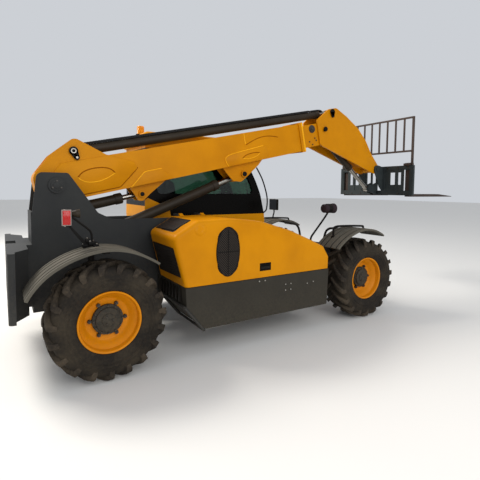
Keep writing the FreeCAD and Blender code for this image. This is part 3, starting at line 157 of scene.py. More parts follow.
def paint(name, colour, worn, rough, dust=0.35, dust_top=1.3, coat=0.0, shine=0.16):
    # Paint with faint clouding, fine orange peel and road dust that thins out upwards
    made = Finish(name)
    clouds = made.noise(2.2, 5.0)
    specks = made.noise(38.0, 6.0, 0.7)
    height = made.axis("Z")
    tint = made.mix(clouds.ramp(0.38, 0.68), colour, worn)
    grime = (1.0 - height.ramp(0.1, dust_top)) * specks.ramp(0.35, 0.75) * dust
    made.set(Base_Color=made.mix(grime.clipped(), tint, DUST))
    made.set(Roughness=(rough + specks * 0.12 + grime * 0.4).clipped())
    made.set(Normal=made.bump(made.noise(260.0, 2.0), 0.08, 0.001))
    made.set(Coat_Weight=coat, Coat_Roughness=0.12, Specular_IOR_Level=shine)
    return made.material


def bare_metal(name, colour, rough):
    made = Finish(name)
    grain = made.noise(90.0, 3.0, 0.5)
    made.set(Base_Color=made.mix(grain.ramp(0.3, 0.8), colour, tuple(0.72 * c for c in colour)))
    made.set(Metallic=1.0, Roughness=rough + grain * 0.12)
    made.set(Normal=made.bump(grain, 0.05, 0.0005))
    return made.material


def rubber(name, colour, dusty, strength=0.6):
    made = Finish(name)
    fine = made.noise(46.0, 8.0, 0.7)
    broad = made.noise(5.0, 4.0)
    share = (broad.ramp(0.4, 0.7) * 0.5 + fine.ramp(0.45, 0.8) * 0.5) * strength
    made.set(Base_Color=made.mix(share.clipped(), colour, dusty), Roughness=0.78 + fine * 0.15)
    made.set(Normal=made.bump(fine, 0.25, 0.002), Specular_IOR_Level=0.2)
    return made.material


def clear(name, colour, alpha=1.0, rough=0.03):
    # Tinted pane: most light goes through, the rest is gloss
    made = Finish(name)
    film = made.noise(6.0, 6.0)
    made.set(Base_Color=made.mix(film.ramp(0.4, 0.9), colour, tuple(0.8 * c for c in colour)))
    made.set(Roughness=rough + film * 0.05, IOR=1.45, Transmission_Weight=alpha)
    return made.material


def mesh_grille(name, pitch, first, second):
    # Pressed wire mesh: crossed diagonal waves over gaps painted near black, painted shade of the space
    # behind the mesh
    made = Finish(name)
    across = made.axis(first)
    up = made.axis(second)
    one = made.node("ShaderNodeMath", {"operation": "SINE"}, {0: (across + up) * (2 * math.pi / pitch)})
    two = made.node("ShaderNodeMath", {"operation": "SINE"}, {0: (across - up) * (2 * math.pi / pitch)})
    wire = one.math("MAXIMUM", one, two)
    shown = wire.ramp(0.55, 0.9)
    made.set(Base_Color=made.mix(shown, srgb(12, 11, 10), srgb(60, 52, 46)), Specular_IOR_Level=0.15)
    made.set(Roughness=0.6, Normal=made.bump(wire, 0.8, 0.004))
    return made.material


YELLOW = paint("yellow_paint", srgb(206, 134, 0), srgb(192, 122, 0), 0.34, 0.06, 1.2, 0.0, 0.09)
CAB_YELLOW = paint("cab_yellow", srgb(212, 140, 0), srgb(200, 130, 0), 0.32, 0.05, 1.2, 0.0, 0.09)
# Brighter copy of the yellow paint: painted highlight on edges and a seam that would catch the light
PAINTED_HIGHLIGHT_YELLOW = paint("painted_highlight_yellow", srgb(248, 180, 26), srgb(236, 166, 14), 0.3, 0.05, 1.2, 0.0, 0.12)
# Darker copy of the yellow paint: painted shade along recess edges and plate steps on the boom
PAINTED_SHADE_AMBER = paint("painted_shade_amber", srgb(150, 84, 0), srgb(132, 72, 0), 0.6, 0.05, 1.2, 0.0, 0.05)
CHARCOAL = paint("frame_grey", srgb(50, 51, 50), srgb(42, 43, 44), 0.5, 0.3, 1.2)
SKIRT = paint("skirt_grey", srgb(52, 49, 42), srgb(46, 43, 37), 0.52, 0.2, 0.8)
BLACK = paint("black_paint", srgb(22, 20, 18), srgb(16, 15, 14), 0.42, 0.2, 1.2, 0.0, 0.1)
GLOSS_BLACK = paint("gloss_black", srgb(8, 6, 4), srgb(5, 4, 3), 0.22, 0.04, 1.2, 0.03, 0.06)
FENDER = rubber("fender_black", srgb(84, 80, 71), srgb(112, 106, 94), 0.45)
# Darker copy of the fender rubber: painted shade in the grooves between ribs
FENDER_GROOVE_SHADE = rubber("fender_painted_shade", srgb(30, 29, 27), srgb(52, 49, 44), 0.3)
TUBE = paint("tube_olive", srgb(52, 44, 34), srgb(40, 34, 27), 0.4, 0.2, 1.2)
SLATE = paint("carriage_slate", srgb(54, 60, 60), srgb(42, 48, 50), 0.5, 0.2, 1.2)
GRID = paint("grid_brown", srgb(72, 60, 54), srgb(58, 48, 44), 0.55, 0.2, 1.2)
CHROME = bare_metal("chrome_rod", srgb(158, 154, 146), 0.2)
STEEL = bare_metal("steel_bolt", srgb(176, 172, 164), 0.34)
DARK_STEEL = bare_metal("dark_bolt", srgb(84, 80, 76), 0.45)
TYRE = rubber("tyre_rubber", srgb(32, 28, 24), srgb(84, 74, 58))
TREAD = rubber("tread_rubber", srgb(40, 35, 30), srgb(98, 86, 70), 0.8)
RIM = paint("rim_yellow", srgb(214, 132, 0), srgb(196, 116, 0), 0.36, 0.12, 1.2, 0.0, 0.14)
HUB = paint("hub_grey", srgb(50, 48, 42), srgb(38, 37, 34), 0.6, 0.35, 1.4)
GLASS = clear("glass", srgb(104, 138, 120))
AMBER = clear("amber", srgb(250, 164, 20), 0.35, 0.12)
LENS_RED = clear("lamp_red", srgb(196, 26, 22), 0.15, 0.15)
LENS_CLEAR = clear("lens_clear", srgb(214, 218, 216), 0.6, 0.08)
PALE = paint("pale_rim", srgb(150, 138, 132), srgb(130, 120, 114), 0.4, 0.1, 1.2)
PLUM = rubber("mirror_case", srgb(40, 30, 34), srgb(72, 60, 62), 0.35)
# Mirror face with a near black base: painted shade, so the glass shows a dark reflection instead of the
# bright world
MIRROR_PAINTED_SHADE = bare_metal("mirror_face_painted_shade", srgb(48, 50, 54), 0.06)
CAST = paint("engine_grey", srgb(96, 98, 100), srgb(74, 76, 78), 0.6, 0.2, 1.2)
PLASTIC = rubber("dark_plastic", srgb(34, 34, 35), srgb(52, 52, 52), 0.4)
GRILLE = mesh_grille("grille_mesh", 0.026, "Y", "Z")
SIDE_MESH = mesh_grille("side_mesh", 0.026, "X", "Z")


def weave():
    made = Finish("seat_cover")
    across = made.node("ShaderNodeMath", {"operation": "SINE"}, {0: made.axis("Y") * 1500.0})
    along = made.node("ShaderNodeMath", {"operation": "SINE"}, {0: made.axis("X") * 1500.0})
    cloth = across.math("MAXIMUM", across, along)
    made.set(Base_Color=made.mix(cloth.ramp(0.0, 1.0), srgb(26, 26, 28), srgb(52, 52, 55)))
    made.set(Roughness=0.9, Normal=made.bump(cloth, 0.3, 0.001))
    return made.material


SEAT_COVER = weave()

FINISHES = {
    YELLOW: ("hood_shell", "boom_outer", "boom_inner"),
    CAB_YELLOW: ("cab_tub", "cab_roof"),
    CHARCOAL: ("frame", "counterweight", "front_axle", "rear_axle", "driveline", "tank_box"),
    SKIRT: ("pod_tray",),
    GLOSS_BLACK: ("cab_frame",),
    BLACK: ("door_frame", "console", "head_lamps", "tail_lamps"),
    TUBE: ("lift_barrel", "level_barrel", "tilt_barrel", "extend_barrel"),
    SLATE: ("carriage",),
    GRID: ("forks",),
    CHROME: ("lift_rod", "level_rod", "tilt_rod", "extend_rod"),
    GLASS: ("cab_glass", "door_glass"),
    CAST: ("engine_block",),
    GRILLE: ("hood_grilles",),
    SEAT_COVER: ("seat",),
}
for place, axle, side in WHEELS:
    FINISHES[CHARCOAL] += ("knuckle_" + place,)
for finish, names in FINISHES.items():
    for name in names:
        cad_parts[name].data.materials.clear()
        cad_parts[name].data.materials.append(finish)


def boom_spot(along, up, side=0.0):
    # A place given along and up from the boom's pivot, in metres
    return ON_BOOM @ Vector((along, side, up))


def spot(station, side, up):
    # A place on the chassis, its station counted forward from the rear axle
    return Vector((REAR_AXLE + station, side, up))


def add(name, shape, body, finish, smooth=35.0):
    # Closes a shape and makes it a piece that rides on a body
    bmesh.ops.remove_doubles(shape, verts=shape.verts, dist=1e-6)
    bmesh.ops.recalc_face_normals(shape, faces=shape.faces)
    for face in shape.faces:
        face.smooth = True
    for edge in shape.edges:
        edge.smooth = edge.is_manifold and edge.calc_face_angle(0.0) < math.radians(smooth)
    mesh = bpy.data.meshes.new(name)
    shape.to_mesh(mesh)
    shape.free()
    mesh.materials.append(finish)
    piece = bpy.data.objects.new(name, mesh)
    bpy.context.scene.collection.objects.link(piece)
    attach(piece, body)
    return piece


def soften(shape, offset, segments=2):
    # Rounds every edge where two faces meet at an angle
    sharp = [edge for edge in shape.edges if edge.calc_face_angle(0.0) > 0.5]
    bmesh.ops.bevel(
        shape, geom=sharp, offset=offset, offset_type="OFFSET", segments=segments, profile=0.5,
        affect="EDGES", material=-1, clamp_overlap=True,
    )


def block(shape, first, last):
    # A box between any two opposite corners
    low, high = Vector(map(min, first, last)), Vector(map(max, first, last))
    size = Matrix.Diagonal((*(high - low), 1.0))
    bmesh.ops.create_cube(shape, size=1.0, matrix=Matrix.Translation((low + high) / 2) @ size)


def rod(shape, start, end, radius, sides=16, tip=None):
    # A round bar from one point to another
    start, end = Vector(start), Vector(end)
    way = (end - start).to_track_quat("Z", "Y").to_matrix().to_4x4()
    where = Matrix.Translation((start + end) / 2) @ way
    tip = radius if tip is None else tip
    bmesh.ops.create_cone(
        shape, cap_ends=True, segments=sides, radius1=radius, radius2=tip,
        depth=(end - start).length, matrix=where,
    )


def stack(shape, base, way, steps):
    # Round steps on one axis, each: start, end, radius, number of sides and the radius at its end
    for start, end, radius, sides, *tip in steps:
        rod(shape, base + way * start, base + way * end, radius, sides, *tip)


def turned(shape, profile, origin, axis, steps=48):
    # A closed outline of (distance along the axis, radius) turned round that axis
    origin, axis = Vector(origin), Vector(axis)
    out = Vector((0, 0, 1)) if abs(axis.z) < 0.5 else Vector((1, 0, 0))
    ring = [shape.verts.new(origin + axis * along + out * radius) for along, radius in profile]
    edges = [shape.edges.new(pair) for pair in zip(ring, ring[1:] + ring[:1])]
    bmesh.ops.spin(
        shape, geom=ring + edges, cent=origin, axis=axis, angle=2 * math.pi, steps=steps, use_merge=True,
    )


def corners_of(made):
    return [item for item in made["geom"] if isinstance(item, bmesh.types.BMVert)]


def plate(shape, outline, thick):
    # A flat outline of points, thickened along a vector
    made = shape.faces.new([shape.verts.new(point) for point in outline])
    grown = bmesh.ops.extrude_face_region(shape, geom=[made], use_keep_orig=True)
    bmesh.ops.translate(shape, vec=Vector(thick), verts=corners_of(grown))


def bent(name, points, radius, body, finish, closed=False):
    # A pipe or bead along a smooth line
    line = bpy.data.curves.new(name, "CURVE")
    line.dimensions = "3D"
    line.bevel_depth = radius
    line.bevel_resolution = 3
    line.resolution_u = 8
    line.use_fill_caps = True
    spline = line.splines.new("NURBS")
    spline.points.add(len(points) - 1)
    for knot, point in zip(spline.points, points):
        knot.co = (*point, 1.0)
    spline.order_u = 3
    spline.use_endpoint_u = not closed
    spline.use_cyclic_u = closed
    holder = bpy.data.objects.new(name, line)
    mesh = bpy.data.meshes.new_from_object(holder)
    bpy.data.objects.remove(holder)
    shape = bmesh.new()
    shape.from_mesh(mesh)
    add(name, shape, body, finish)


def polar(angle, radius, side):
    # A place about a wheel's centre, angle counted from forward to up
    return Vector((radius * math.cos(angle), side, radius * math.sin(angle)))


def make_tyre(place, axle, side):
    # Carcass by spinning its section, then two rows of slanting lugs that meet in a V
    centre = Vector((axle, side * WHEEL_SIDE, AXLE_HEIGHT))
    shape = bmesh.new()
    half_section = (
        # distance from the tyre's middle plane, radius
        (0.150, 0.268), (0.159, 0.287), (0.170, 0.292), (0.176, 0.310), (0.192, 0.350), (0.194, 0.362),
        (0.1985, 0.366), (0.195, 0.371), (0.196, 0.395), (0.1999, 0.400), (0.196, 0.406), (0.194, 0.437),
        (0.186, 0.472), (0.160, 0.492), (0.10, 0.499),
    )
    section = [(-across, radius) for across, radius in half_section] + [(0.0, 0.501), *half_section[::-1]]
    ring = [shape.verts.new(polar(0.0, radius, across)) for across, radius in section]
    edges = [shape.edges.new(pair) for pair in zip(ring, ring[1:] + ring[:1])]
    bmesh.ops.spin(
        shape, geom=ring + edges, cent=(0, 0, 0), axis=(0, -1, 0), angle=2 * math.pi, steps=108,
        use_merge=True,
    )
    bmesh.ops.translate(shape, vec=centre, verts=shape.verts)
    carcass = add("tyre_carcass_" + place, shape, "wheel_" + place, TYRE, 50.0)
    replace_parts(carcass, "tyre_" + place)

    lugs = bmesh.new()
    steps = (
        # run round the tread, distance from the middle, radius, width, depth
        (-0.030, 0.010, 0.5370, 0.036, 0.046),
        (0.020, 0.062, 0.5373, 0.044, 0.046),
        (0.066, 0.110, 0.5362, 0.050, 0.046),
        (0.100, 0.150, 0.5330, 0.058, 0.046),
        (0.122, 0.184, 0.5230, 0.064, 0.05),
        (0.134, 0.1985, 0.4900, 0.060, 0.03),
        (0.138, 0.1995, 0.4450, 0.050, 0.02),
    )
    rows = 19
    for hand, offset in ((1, 0.0), (-1, math.pi / rows)):
        tops = []
        for run, across, radius, width, depth in steps:
            pair = []
            for half in (-0.5, 0.5):
                angle = offset + (run + half * width) / 0.5375
                pair.append(lugs.verts.new(polar(angle, radius, hand * across)))
            tops.append(pair)
        faces = []
        for first, second in zip(tops, tops[1:]):
            faces.append(lugs.faces.new((first[0], first[1], second[1], second[0])))
        grown = bmesh.ops.extrude_face_region(lugs, geom=faces, use_keep_orig=True)
        for vertex in corners_of(grown):
            reach = math.hypot(vertex.co.x, vertex.co.z)
            sunk = 0.047 if reach > 0.52 else 0.012
            flat = Vector((vertex.co.x, 0.0, vertex.co.z)) * (1 - sunk / reach)
            inward = 0.93 if reach > 0.52 else 0.9
            spread = vertex.co.y * (0.985 if reach > 0.53 else inward)
            vertex.co = Vector((flat.x, spread, flat.z))
    bmesh.ops.recalc_face_normals(lugs, faces=lugs.faces)
    soften(lugs, 0.004, 2)
    bmesh.ops.spin(
        lugs, geom=lugs.verts[:] + lugs.edges[:] + lugs.faces[:], cent=(0, 0, 0), axis=(0, -1, 0),
        angle=2 * math.pi * (rows - 1) / rows, steps=rows - 1, use_duplicate=True,
    )
    bmesh.ops.translate(lugs, vec=centre, verts=lugs.verts)
    add("tyre_lugs_" + place, lugs, "wheel_" + place, TREAD)


def make_rim(place, axle, side):
    # Barrel with rolled lips and a drop centre, the dished disc and the hub behind it
    shape = bmesh.new()
    barrel = (
        # distance from the rim's middle plane, radius
        (-0.160, 0.284), (-0.160, 0.271), (-0.150, 0.2675), (-0.060, 0.266), (-0.030, 0.245), (0.050, 0.245),
        (0.080, 0.266), (0.150, 0.2675), (0.160, 0.271), (0.160, 0.284), (0.164, 0.2845), (0.168, 0.281),
        (0.168, 0.273), (0.163, 0.266), (0.150, 0.2615), (0.084, 0.259), (0.052, 0.237), (-0.032, 0.237),
        (-0.065, 0.259), (-0.150, 0.2615), (-0.163, 0.266), (-0.168, 0.273), (-0.168, 0.281),
        (-0.164, 0.2845),
    )
    disc = (
        (0.020, 0.070), (0.034, 0.070), (0.034, 0.192), (0.037, 0.200), (0.060, 0.214), (0.092, 0.2395),
        (0.108, 0.2605), (0.092, 0.2605), (0.050, 0.224), (0.026, 0.210), (0.020, 0.202),
    )
    hub = (
        (-0.0615, 0.0715), (-0.004, 0.0715), (-0.004, 0.001), (0.034, 0.001), (0.034, 0.139),
        (-0.038, 0.139), (-0.0615, 0.110),
    )
    for profile in (barrel, disc, hub):
        turned(shape, profile, (axle, side * WHEEL_SIDE, AXLE_HEIGHT), (0, side, 0), 72)
    whole = add("wheel_rim_" + place, shape, "wheel_" + place, RIM, 40.0)
    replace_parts(whole, "rim_" + place)


def make_hub(place, axle, side):
    # Planetary hub cover with its ring of bolts, and the wheel nuts round it
    shape = bmesh.new()
    face = WHEEL_SIDE + 0.053
    near = WHEEL_SIDE + 0.0345
    middle, out = Vector((axle, 0, AXLE_HEIGHT)), Vector((0, side, 0))
    stack(shape, middle, out, (
        (near, face + 0.016, 0.1415, 24),
        (face + 0.016, face + 0.034, 0.112, 24),
        (face + 0.034, face + 0.044, 0.060, 20),
    ))
    soften(shape, 0.005, 2)
    add("hub_cover_" + place, shape, "wheel_" + place, HUB)
    bolts = bmesh.new()
    rings = (
        # number, circle radius, start, end, bolt radius
        (12, 0.127, face + 0.016, face + 0.026, 0.0085),
        (6, 0.160, near, near + 0.026, 0.019),
        (6, 0.160, near + 0.026, near + 0.036, 0.010),
        (3, 0.036, face + 0.044, face + 0.051, 0.008),
    )
    for count, circle, start, end, radius in rings:
        for index in range(count):
            centre = middle + polar(2 * math.pi * index / count, circle, 0.0)
            stack(bolts, centre, out, ((start, end, radius, 6),))
    soften(bolts, 0.0012, 1)
    add("hub_bolts_" + place, bolts, "wheel_" + place, DARK_STEEL)


for place, axle, side in WHEELS:
    make_tyre(place, axle, side)
    make_rim(place, axle, side)
    make_hub(place, axle, side)


# Fender bands about the wheel's centre. Columns: angle, how much wider than the fender's radius.
FRONT_BAND = ((58, 0.0), (100, 0.0), (110, 0.002), (120, 0.008), (130, 0.018), (141, 0.032))
REAR_BAND = (
    (46, 0.026), (52, 0.012), (64, 0.002), (80, 0.0), (96, 0.0), (112, 0.002), (126, 0.018), (140, 0.042),
    (157, 0.066),
)
FENDER_RIBS = ((0.702, 0.744), (0.768, 0.832), (0.856, 0.944), (0.968, 1.042), (1.066, 1.108))
FENDER_SECTION = [(1.110, 0.0), (0.700, 0.0)]
for near, far in FENDER_RIBS:
    FENDER_SECTION += [(near, 0.011), (near + 0.003, 0.023), (far - 0.003, 0.023), (far, 0.011)]


def wider(band, angle):
    for (first, low), (last, high) in zip(band, band[1:]):
        if angle <= last:
            return low + (high - low) * max(0.0, angle - first) / (last - first)
    return band[-1][1]


def add_band(shape, axle, radius, band, side):
    # A ribbed strip swept round the wheel by joining one section to the next
    first, last = band[0][0], band[-1][0]
    count = 36
    before = None
    for step in range(count + 1):
        angle = first + (last - first) * step / count
        reach = radius + sum(wider(band, angle + shift) for shift in (-3, 0, 3)) / 3
        middle = Vector((axle, 0, AXLE_HEIGHT))
        places = [polar(math.radians(angle), reach + out, side * across) for across, out in FENDER_SECTION]
        ring = [shape.verts.new(middle + place) for place in places]
        if before:
            for index in range(len(ring)):
                after = (index + 1) % len(ring)
                shape.faces.new((before[index], before[after], ring[after], ring[index]))
        if step in (0, count):
            shape.faces.new(ring)
        before = ring


def make_fenders():
    bands = bmesh.new()
    arms = bmesh.new()
    top = AXLE_HEIGHT + 0.645
    for word, side in SIDES:
        for axle, radius, band in ((WHEELBASE, 0.66, FRONT_BAND), (0.0, 0.64, REAR_BAND)):
            add_band(bands, REAR_AXLE + axle, radius, band, side)
        for far, low in ((1.01, top - 0.04), (0.284, 0.92)):
            block(arms, spot(-0.03, side * 0.27, low), spot(0.03, side * far, top))
        tube = ((0.272, 0.950), (0.300, 1.090), (0.360, 1.150), (0.450, 1.178), (1.000, 1.186))
        points = [spot(WHEELBASE, side * a, b) for a, b in tube]
        bent("front_fender_arm_" + word, points, 0.018, "chassis", BLACK)
        block(arms, spot(-0.165, side * 0.77, 1.168), spot(-0.105, side * 0.81, 1.196))
    block(arms, spot(3.425, 1.030, 1.195), spot(3.472, 1.076, 1.216))
    soften(arms, 0.003, 1)
    bands.normal_update()
    whole = add("fender_bands", bands, "chassis", FENDER, 40.0)
    whole.data.materials.append(FENDER_GROOVE_SHADE)
    for face in whole.data.polygons:
        # The faces between two ribs are as wide as the gap there, and take the darker finish as painted shade
        # in the grooves
        sides = [abs(whole.data.vertices[index].co.y) for index in face.vertices]
        face.material_index = int(0.020 < max(sides) - min(sides) < 0.026)
    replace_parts(whole, "fenders")
    add("fender_arms", arms, "chassis", BLACK)
    rail = (
        (3.050, 1.100), (3.050, 1.205), (3.052, 1.228), (3.075, 1.240), (3.125, 1.251), (3.400, 1.245),
        (3.625, 1.232), (3.652, 1.229), (3.656, 1.210), (3.656, 1.170),
    )
    for word, side in SIDES:
        middle = side * 0.851
        points = [spot(a, middle, b) for a, b in rail]
        bent("fender_rail_" + word, points, 0.0145, "chassis", BLACK)
        feet = bmesh.new()
        for station, low in ((3.050, 1.080), (3.656, 1.158)):
            corner = (station - 0.022, middle - 0.022, low)
            block(feet, spot(*corner), spot(*corner) + Vector((0.044, 0.044, 0.042)))
        soften(feet, 0.004, 2)
        add("rail_feet_" + word, feet, "chassis", BLACK)


make_fenders()


def oval(station, up, wide, high, face, count=40):
    # Points of an upright oval on the machine's side
    angles = [2 * math.pi * index / count for index in range(count)]
    return [spot(station + wide * math.cos(angle), face, up + high * math.sin(angle)) for angle in angles]


def ground_spot(along, up, side):
    # A place on the chassis, along and up from the ground under the fitted middle of the axles
    return Vector((along - 0.97495, side, up))


def make_boom_relief(word, side):
    # Shallow plates on one side of the boom, and beads coloured as painted shade or painted highlight that
    # draw the pressed shapes, plate edges and seam
    face = side * BOOM_HALF
    plates = {
        # name: outline along and up the boom
        "root": (
            (-0.12, 0.02), (0.19, -0.150), (0.650, -0.150), (0.890, 0.022), (0.870, 0.100), (0.60, 0.215),
            (0.10, 0.215),
        ),
        "mid": (
            (0.776, -0.183), (0.952, -0.048), (0.975, -0.040), (1.176, -0.039), (1.225, -0.085),
            (1.312, -0.183),
        ),
        "rod": (
            (2.110, -0.183), (2.074, -0.101), (2.090, -0.060), (2.150, -0.034), (2.715, 0.002),
            (2.764, -0.020), (2.775, -0.183),
        ),
    }
    for name, outline in plates.items():
        shape = bmesh.new()
        plate(shape, [boom_spot(a, b, face) for a, b in outline], (0, side * 0.010, 0))
        bmesh.ops.recalc_face_normals(shape, faces=shape.faces)
        soften(shape, 0.005, 2)
        add("boom_" + name + "_plate_" + word, shape, "boom", YELLOW)
    lines = (
        # name, height over the side, radius, finish (painted shade or painted highlight), places along and up
        # the boom
        ("oval_top", 0.010, 0.0062, PAINTED_SHADE_AMBER, (
            (0.233, 0.040), (0.275, 0.080), (0.345, 0.101), (0.413, 0.106), (0.486, 0.101), (0.558, 0.084),
            (0.608, 0.050), (0.629, 0.014),
        )),
        ("oval_low", 0.010, 0.0052, PAINTED_HIGHLIGHT_YELLOW, (
            (0.233, 0.040), (0.250, 0.004), (0.310, -0.031), (0.390, -0.045), (0.466, -0.042),
            (0.539, -0.024), (0.596, -0.003), (0.629, 0.014),
        )),
        ("root_step", 0.001, 0.0075, PAINTED_SHADE_AMBER, (
            (0.20, -0.152), (0.40, -0.152), (0.645, -0.152), (0.665, -0.142), (0.880, 0.012), (0.894, 0.030),
        )),
        ("mid_edge", 0.004, 0.0062, PAINTED_HIGHLIGHT_YELLOW, (
            (0.770, -0.184), (0.860, -0.118), (0.945, -0.050), (0.975, -0.036), (1.080, -0.036),
            (1.176, -0.036),
        )),
        ("rod_edge", 0.004, 0.0062, PAINTED_HIGHLIGHT_YELLOW, (
            (2.106, -0.183), (2.068, -0.105), (2.084, -0.056), (2.150, -0.029), (2.440, -0.010),
            (2.715, 0.007),
        )),
        ("seam", 0.000, 0.0060, PAINTED_HIGHLIGHT_YELLOW, ((2.430, 0.212), (2.430, 0.150), (2.431, 0.069))),
        ("arc", 0.000, 0.0055, PAINTED_SHADE_AMBER, (
            (2.438, 0.059), (2.535, 0.092), (2.701, 0.132), (2.889, 0.122), (3.000, 0.085),
        )),
        ("slot_top", 0.010, 0.0055, PAINTED_SHADE_AMBER, (
            (2.340, -0.112), (2.380, -0.085), (2.440, -0.069), (2.581, -0.063), (2.635, -0.084),
        )),
        ("slot_low", 0.010, 0.0045, PAINTED_HIGHLIGHT_YELLOW, (
            (2.340, -0.112), (2.400, -0.132), (2.480, -0.134), (2.596, -0.119), (2.635, -0.084),
        )),
    )
    for name, lift, radius, finish, places in lines:
        points = [boom_spot(a, b, face + side * lift) for a, b in places]
        bent("boom_" + name + "_" + word, points, radius, "boom", finish)
    # Strip at the boom's mouth in the brighter copy of the paint: painted highlight on its lit end
    mouth = bmesh.new()
    block(mouth, (3.452, side * 0.186, -0.196), (3.482, side * 0.193, 0.228))
    soften(mouth, 0.003, 2)
    bmesh.ops.transform(mouth, matrix=ON_BOOM, verts=mouth.verts)
    add("boom_mouth_strip_" + word, mouth, "boom", PAINTED_HIGHLIGHT_YELLOW)


def keeper(shape, along, up, side, face, lean, bolt):
    # Teardrop plate that locks a pin: round at the pin and at its bolt, whose place it gives back
    out = Vector((0, side, 0))
    near = boom_spot(along, up, face)
    far = boom_spot(along + bolt * math.cos(lean), up + bolt * math.sin(lean), face)
    for place, radius in ((near, 0.046), (far, 0.028)):
        stack(shape, place, out, ((0.0, 0.012, radius, 28),))
    way = (far - near).normalized()
    across = Vector((way.z, 0, -way.x))
    outline = [near + across * 0.045, far + across * 0.027, far - across * 0.027, near - across * 0.045]
    plate(shape, outline, out * 0.012)
    return far


def make_boom_pins(word, side):
    out = Vector((0, side, 0))
    face = side * (BOOM_HALF + 0.0142)
    root = bmesh.new()
    bolt = keeper(root, *HUMP_PIN, side, face, math.radians(-77), 0.075)
    add("hump_keeper_" + word, root, "boom", BLACK)
    ends = bmesh.new()
    ring = ((0.010, 0.016), (0.018, 0.016), (0.020, 0.020), (0.020, 0.026), (0.016, 0.029), (0.010, 0.029))
    turned(ends, ring, boom_spot(*HUMP_PIN, face), out, 28)
    stack(ends, bolt, out, ((0.0, 0.022, 0.012, 6),))
    add("hump_pin_end_" + word, ends, "boom", STEEL)
    head = bmesh.new()
    face = side * 0.1785
    keeper(head, 4.15, 0.320, side, face, math.radians(-92), 0.06)
    stack(head, boom_spot(3.95, 0.077, face), out, ((0.0, 0.014, 0.036, 24),))
    stack(head, boom_spot(3.925, 0.064, face), out, ((0.0, 0.010, 0.020, 16),))
    add("head_keepers_" + word, head, "boom_stage", BLACK)
    under = bmesh.new()
    for pin, radius in ((LEVEL_PIN, 0.024), (LIFT_PIN, 0.034)):
        stack(under, boom_spot(*pin), out, ((0.060, 0.130, radius, 24),))
    soften(under, 0.003, 2)
    add("lug_pins_" + word, under, "boom", BLACK)


def make_boom_fittings(word, side):
    # Hose fitting, its boss and the wear pad bolts by the boom's mouth
    shape = bmesh.new()
    face, out = side * 0.14, Vector((0, side, 0))
    steps = ((0.0, 0.010, 0.060, 32), (0.010, 0.022, 0.046, 32), (0.022, 0.034, 0.026, 6))
    stack(shape, boom_spot(3.700, 0.115, face), out, steps)
    soften(shape, 0.002, 2)
    add("mouth_fitting_" + word, shape, "boom_stage", DARK_STEEL)
    bolts = bmesh.new()
    for along, up in ((3.617, -0.069), (3.757, -0.067), (3.671, -0.120), (3.735, -0.030)):
        stack(bolts, boom_spot(along, up, face), out, ((0.0, 0.010, 0.011, 6),))
    add("mouth_bolts_" + word, bolts, "boom_stage", DARK_STEEL)


for word, side in SIDES:
    make_boom_relief(word, side)
    make_boom_pins(word, side)
    make_boom_fittings(word, side)


def make_hose_track():
    # Carrier chain on the long cylinder: one open link, repeated along the boom
    shape = bmesh.new()
    low, high, half = 0.3745, 0.4035, 0.036
    for _, side in SIDES:
        inner = side * (half - 0.006)
        block(shape, (0.0, side * half, low), (0.024, inner, high))
        block(shape, (0.014, inner, low + 0.004), (0.034, side * (half - 0.010), high - 0.006))
    for up in (low, high - 0.005):
        block(shape, (0.002, -half + 0.006, up), (0.016, half - 0.006, up + 0.005))
    soften(shape, 0.0012, 1)
    links, pitch = 114, 0.030
    first = shape.verts[:] + shape.edges[:] + shape.faces[:]
    for index in range(1, links):
        made = bmesh.ops.duplicate(shape, geom=first)
        bmesh.ops.translate(shape, vec=(pitch * index, 0, 0), verts=corners_of(made))
    bmesh.ops.translate(shape, vec=(0.375, 0, 0), verts=shape.verts)
    bmesh.ops.transform(shape, matrix=ON_BOOM, verts=shape.verts)
    track = add("hose_track", shape, "boom", PLASTIC)
    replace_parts(track, "hose_chain")
    hoses = (
        # name, body, radius, places along and up the boom
        ("hose_in_track_", "boom", 0.0095, ((0.34, 0.3885), (1.5, 0.3885), (2.6, 0.3885), (3.82, 0.3885))),
        ("hose_to_head_", "boom_stage", 0.0125, (
            (3.84, 0.3885), (3.92, 0.3885), (4.02, 0.386), (4.075, 0.370), (4.09, 0.340), (4.085, 0.30),
        )),
    )
    for word, side in SIDES:
        for name, body, radius, places in hoses:
            points = [boom_spot(a, b, side * 0.015) for a, b in places]
            bent(name + word, points, radius, body, PLASTIC)
    gland = bmesh.new()
    profile = ((-0.05, 0.040), (0.020, 0.040), (0.026, 0.046), (0.026, 0.056), (0.020, 0.060), (-0.05, 0.060))
    along = (math.cos(BOOM_ANGLE), 0, math.sin(BOOM_ANGLE))
    turned(gland, profile, boom_spot(3.955, 0.320), along, 40)
    add("extend_gland", gland, "boom", TUBE)


make_hose_track()


def framed_screen(name, outline, thick, radius):
    # A sheet of wire mesh and the bar round it
    screen = bmesh.new()
    plate(screen, outline, thick)
    add(name + "_screen", screen, "hood", GRILLE)
    rim = bmesh.new()
    for first, last in zip(outline, outline[1:] + outline[:1]):
        rod(rim, first, last, radius, 8)
    add(name + "_rim", rim, "hood", BLACK)


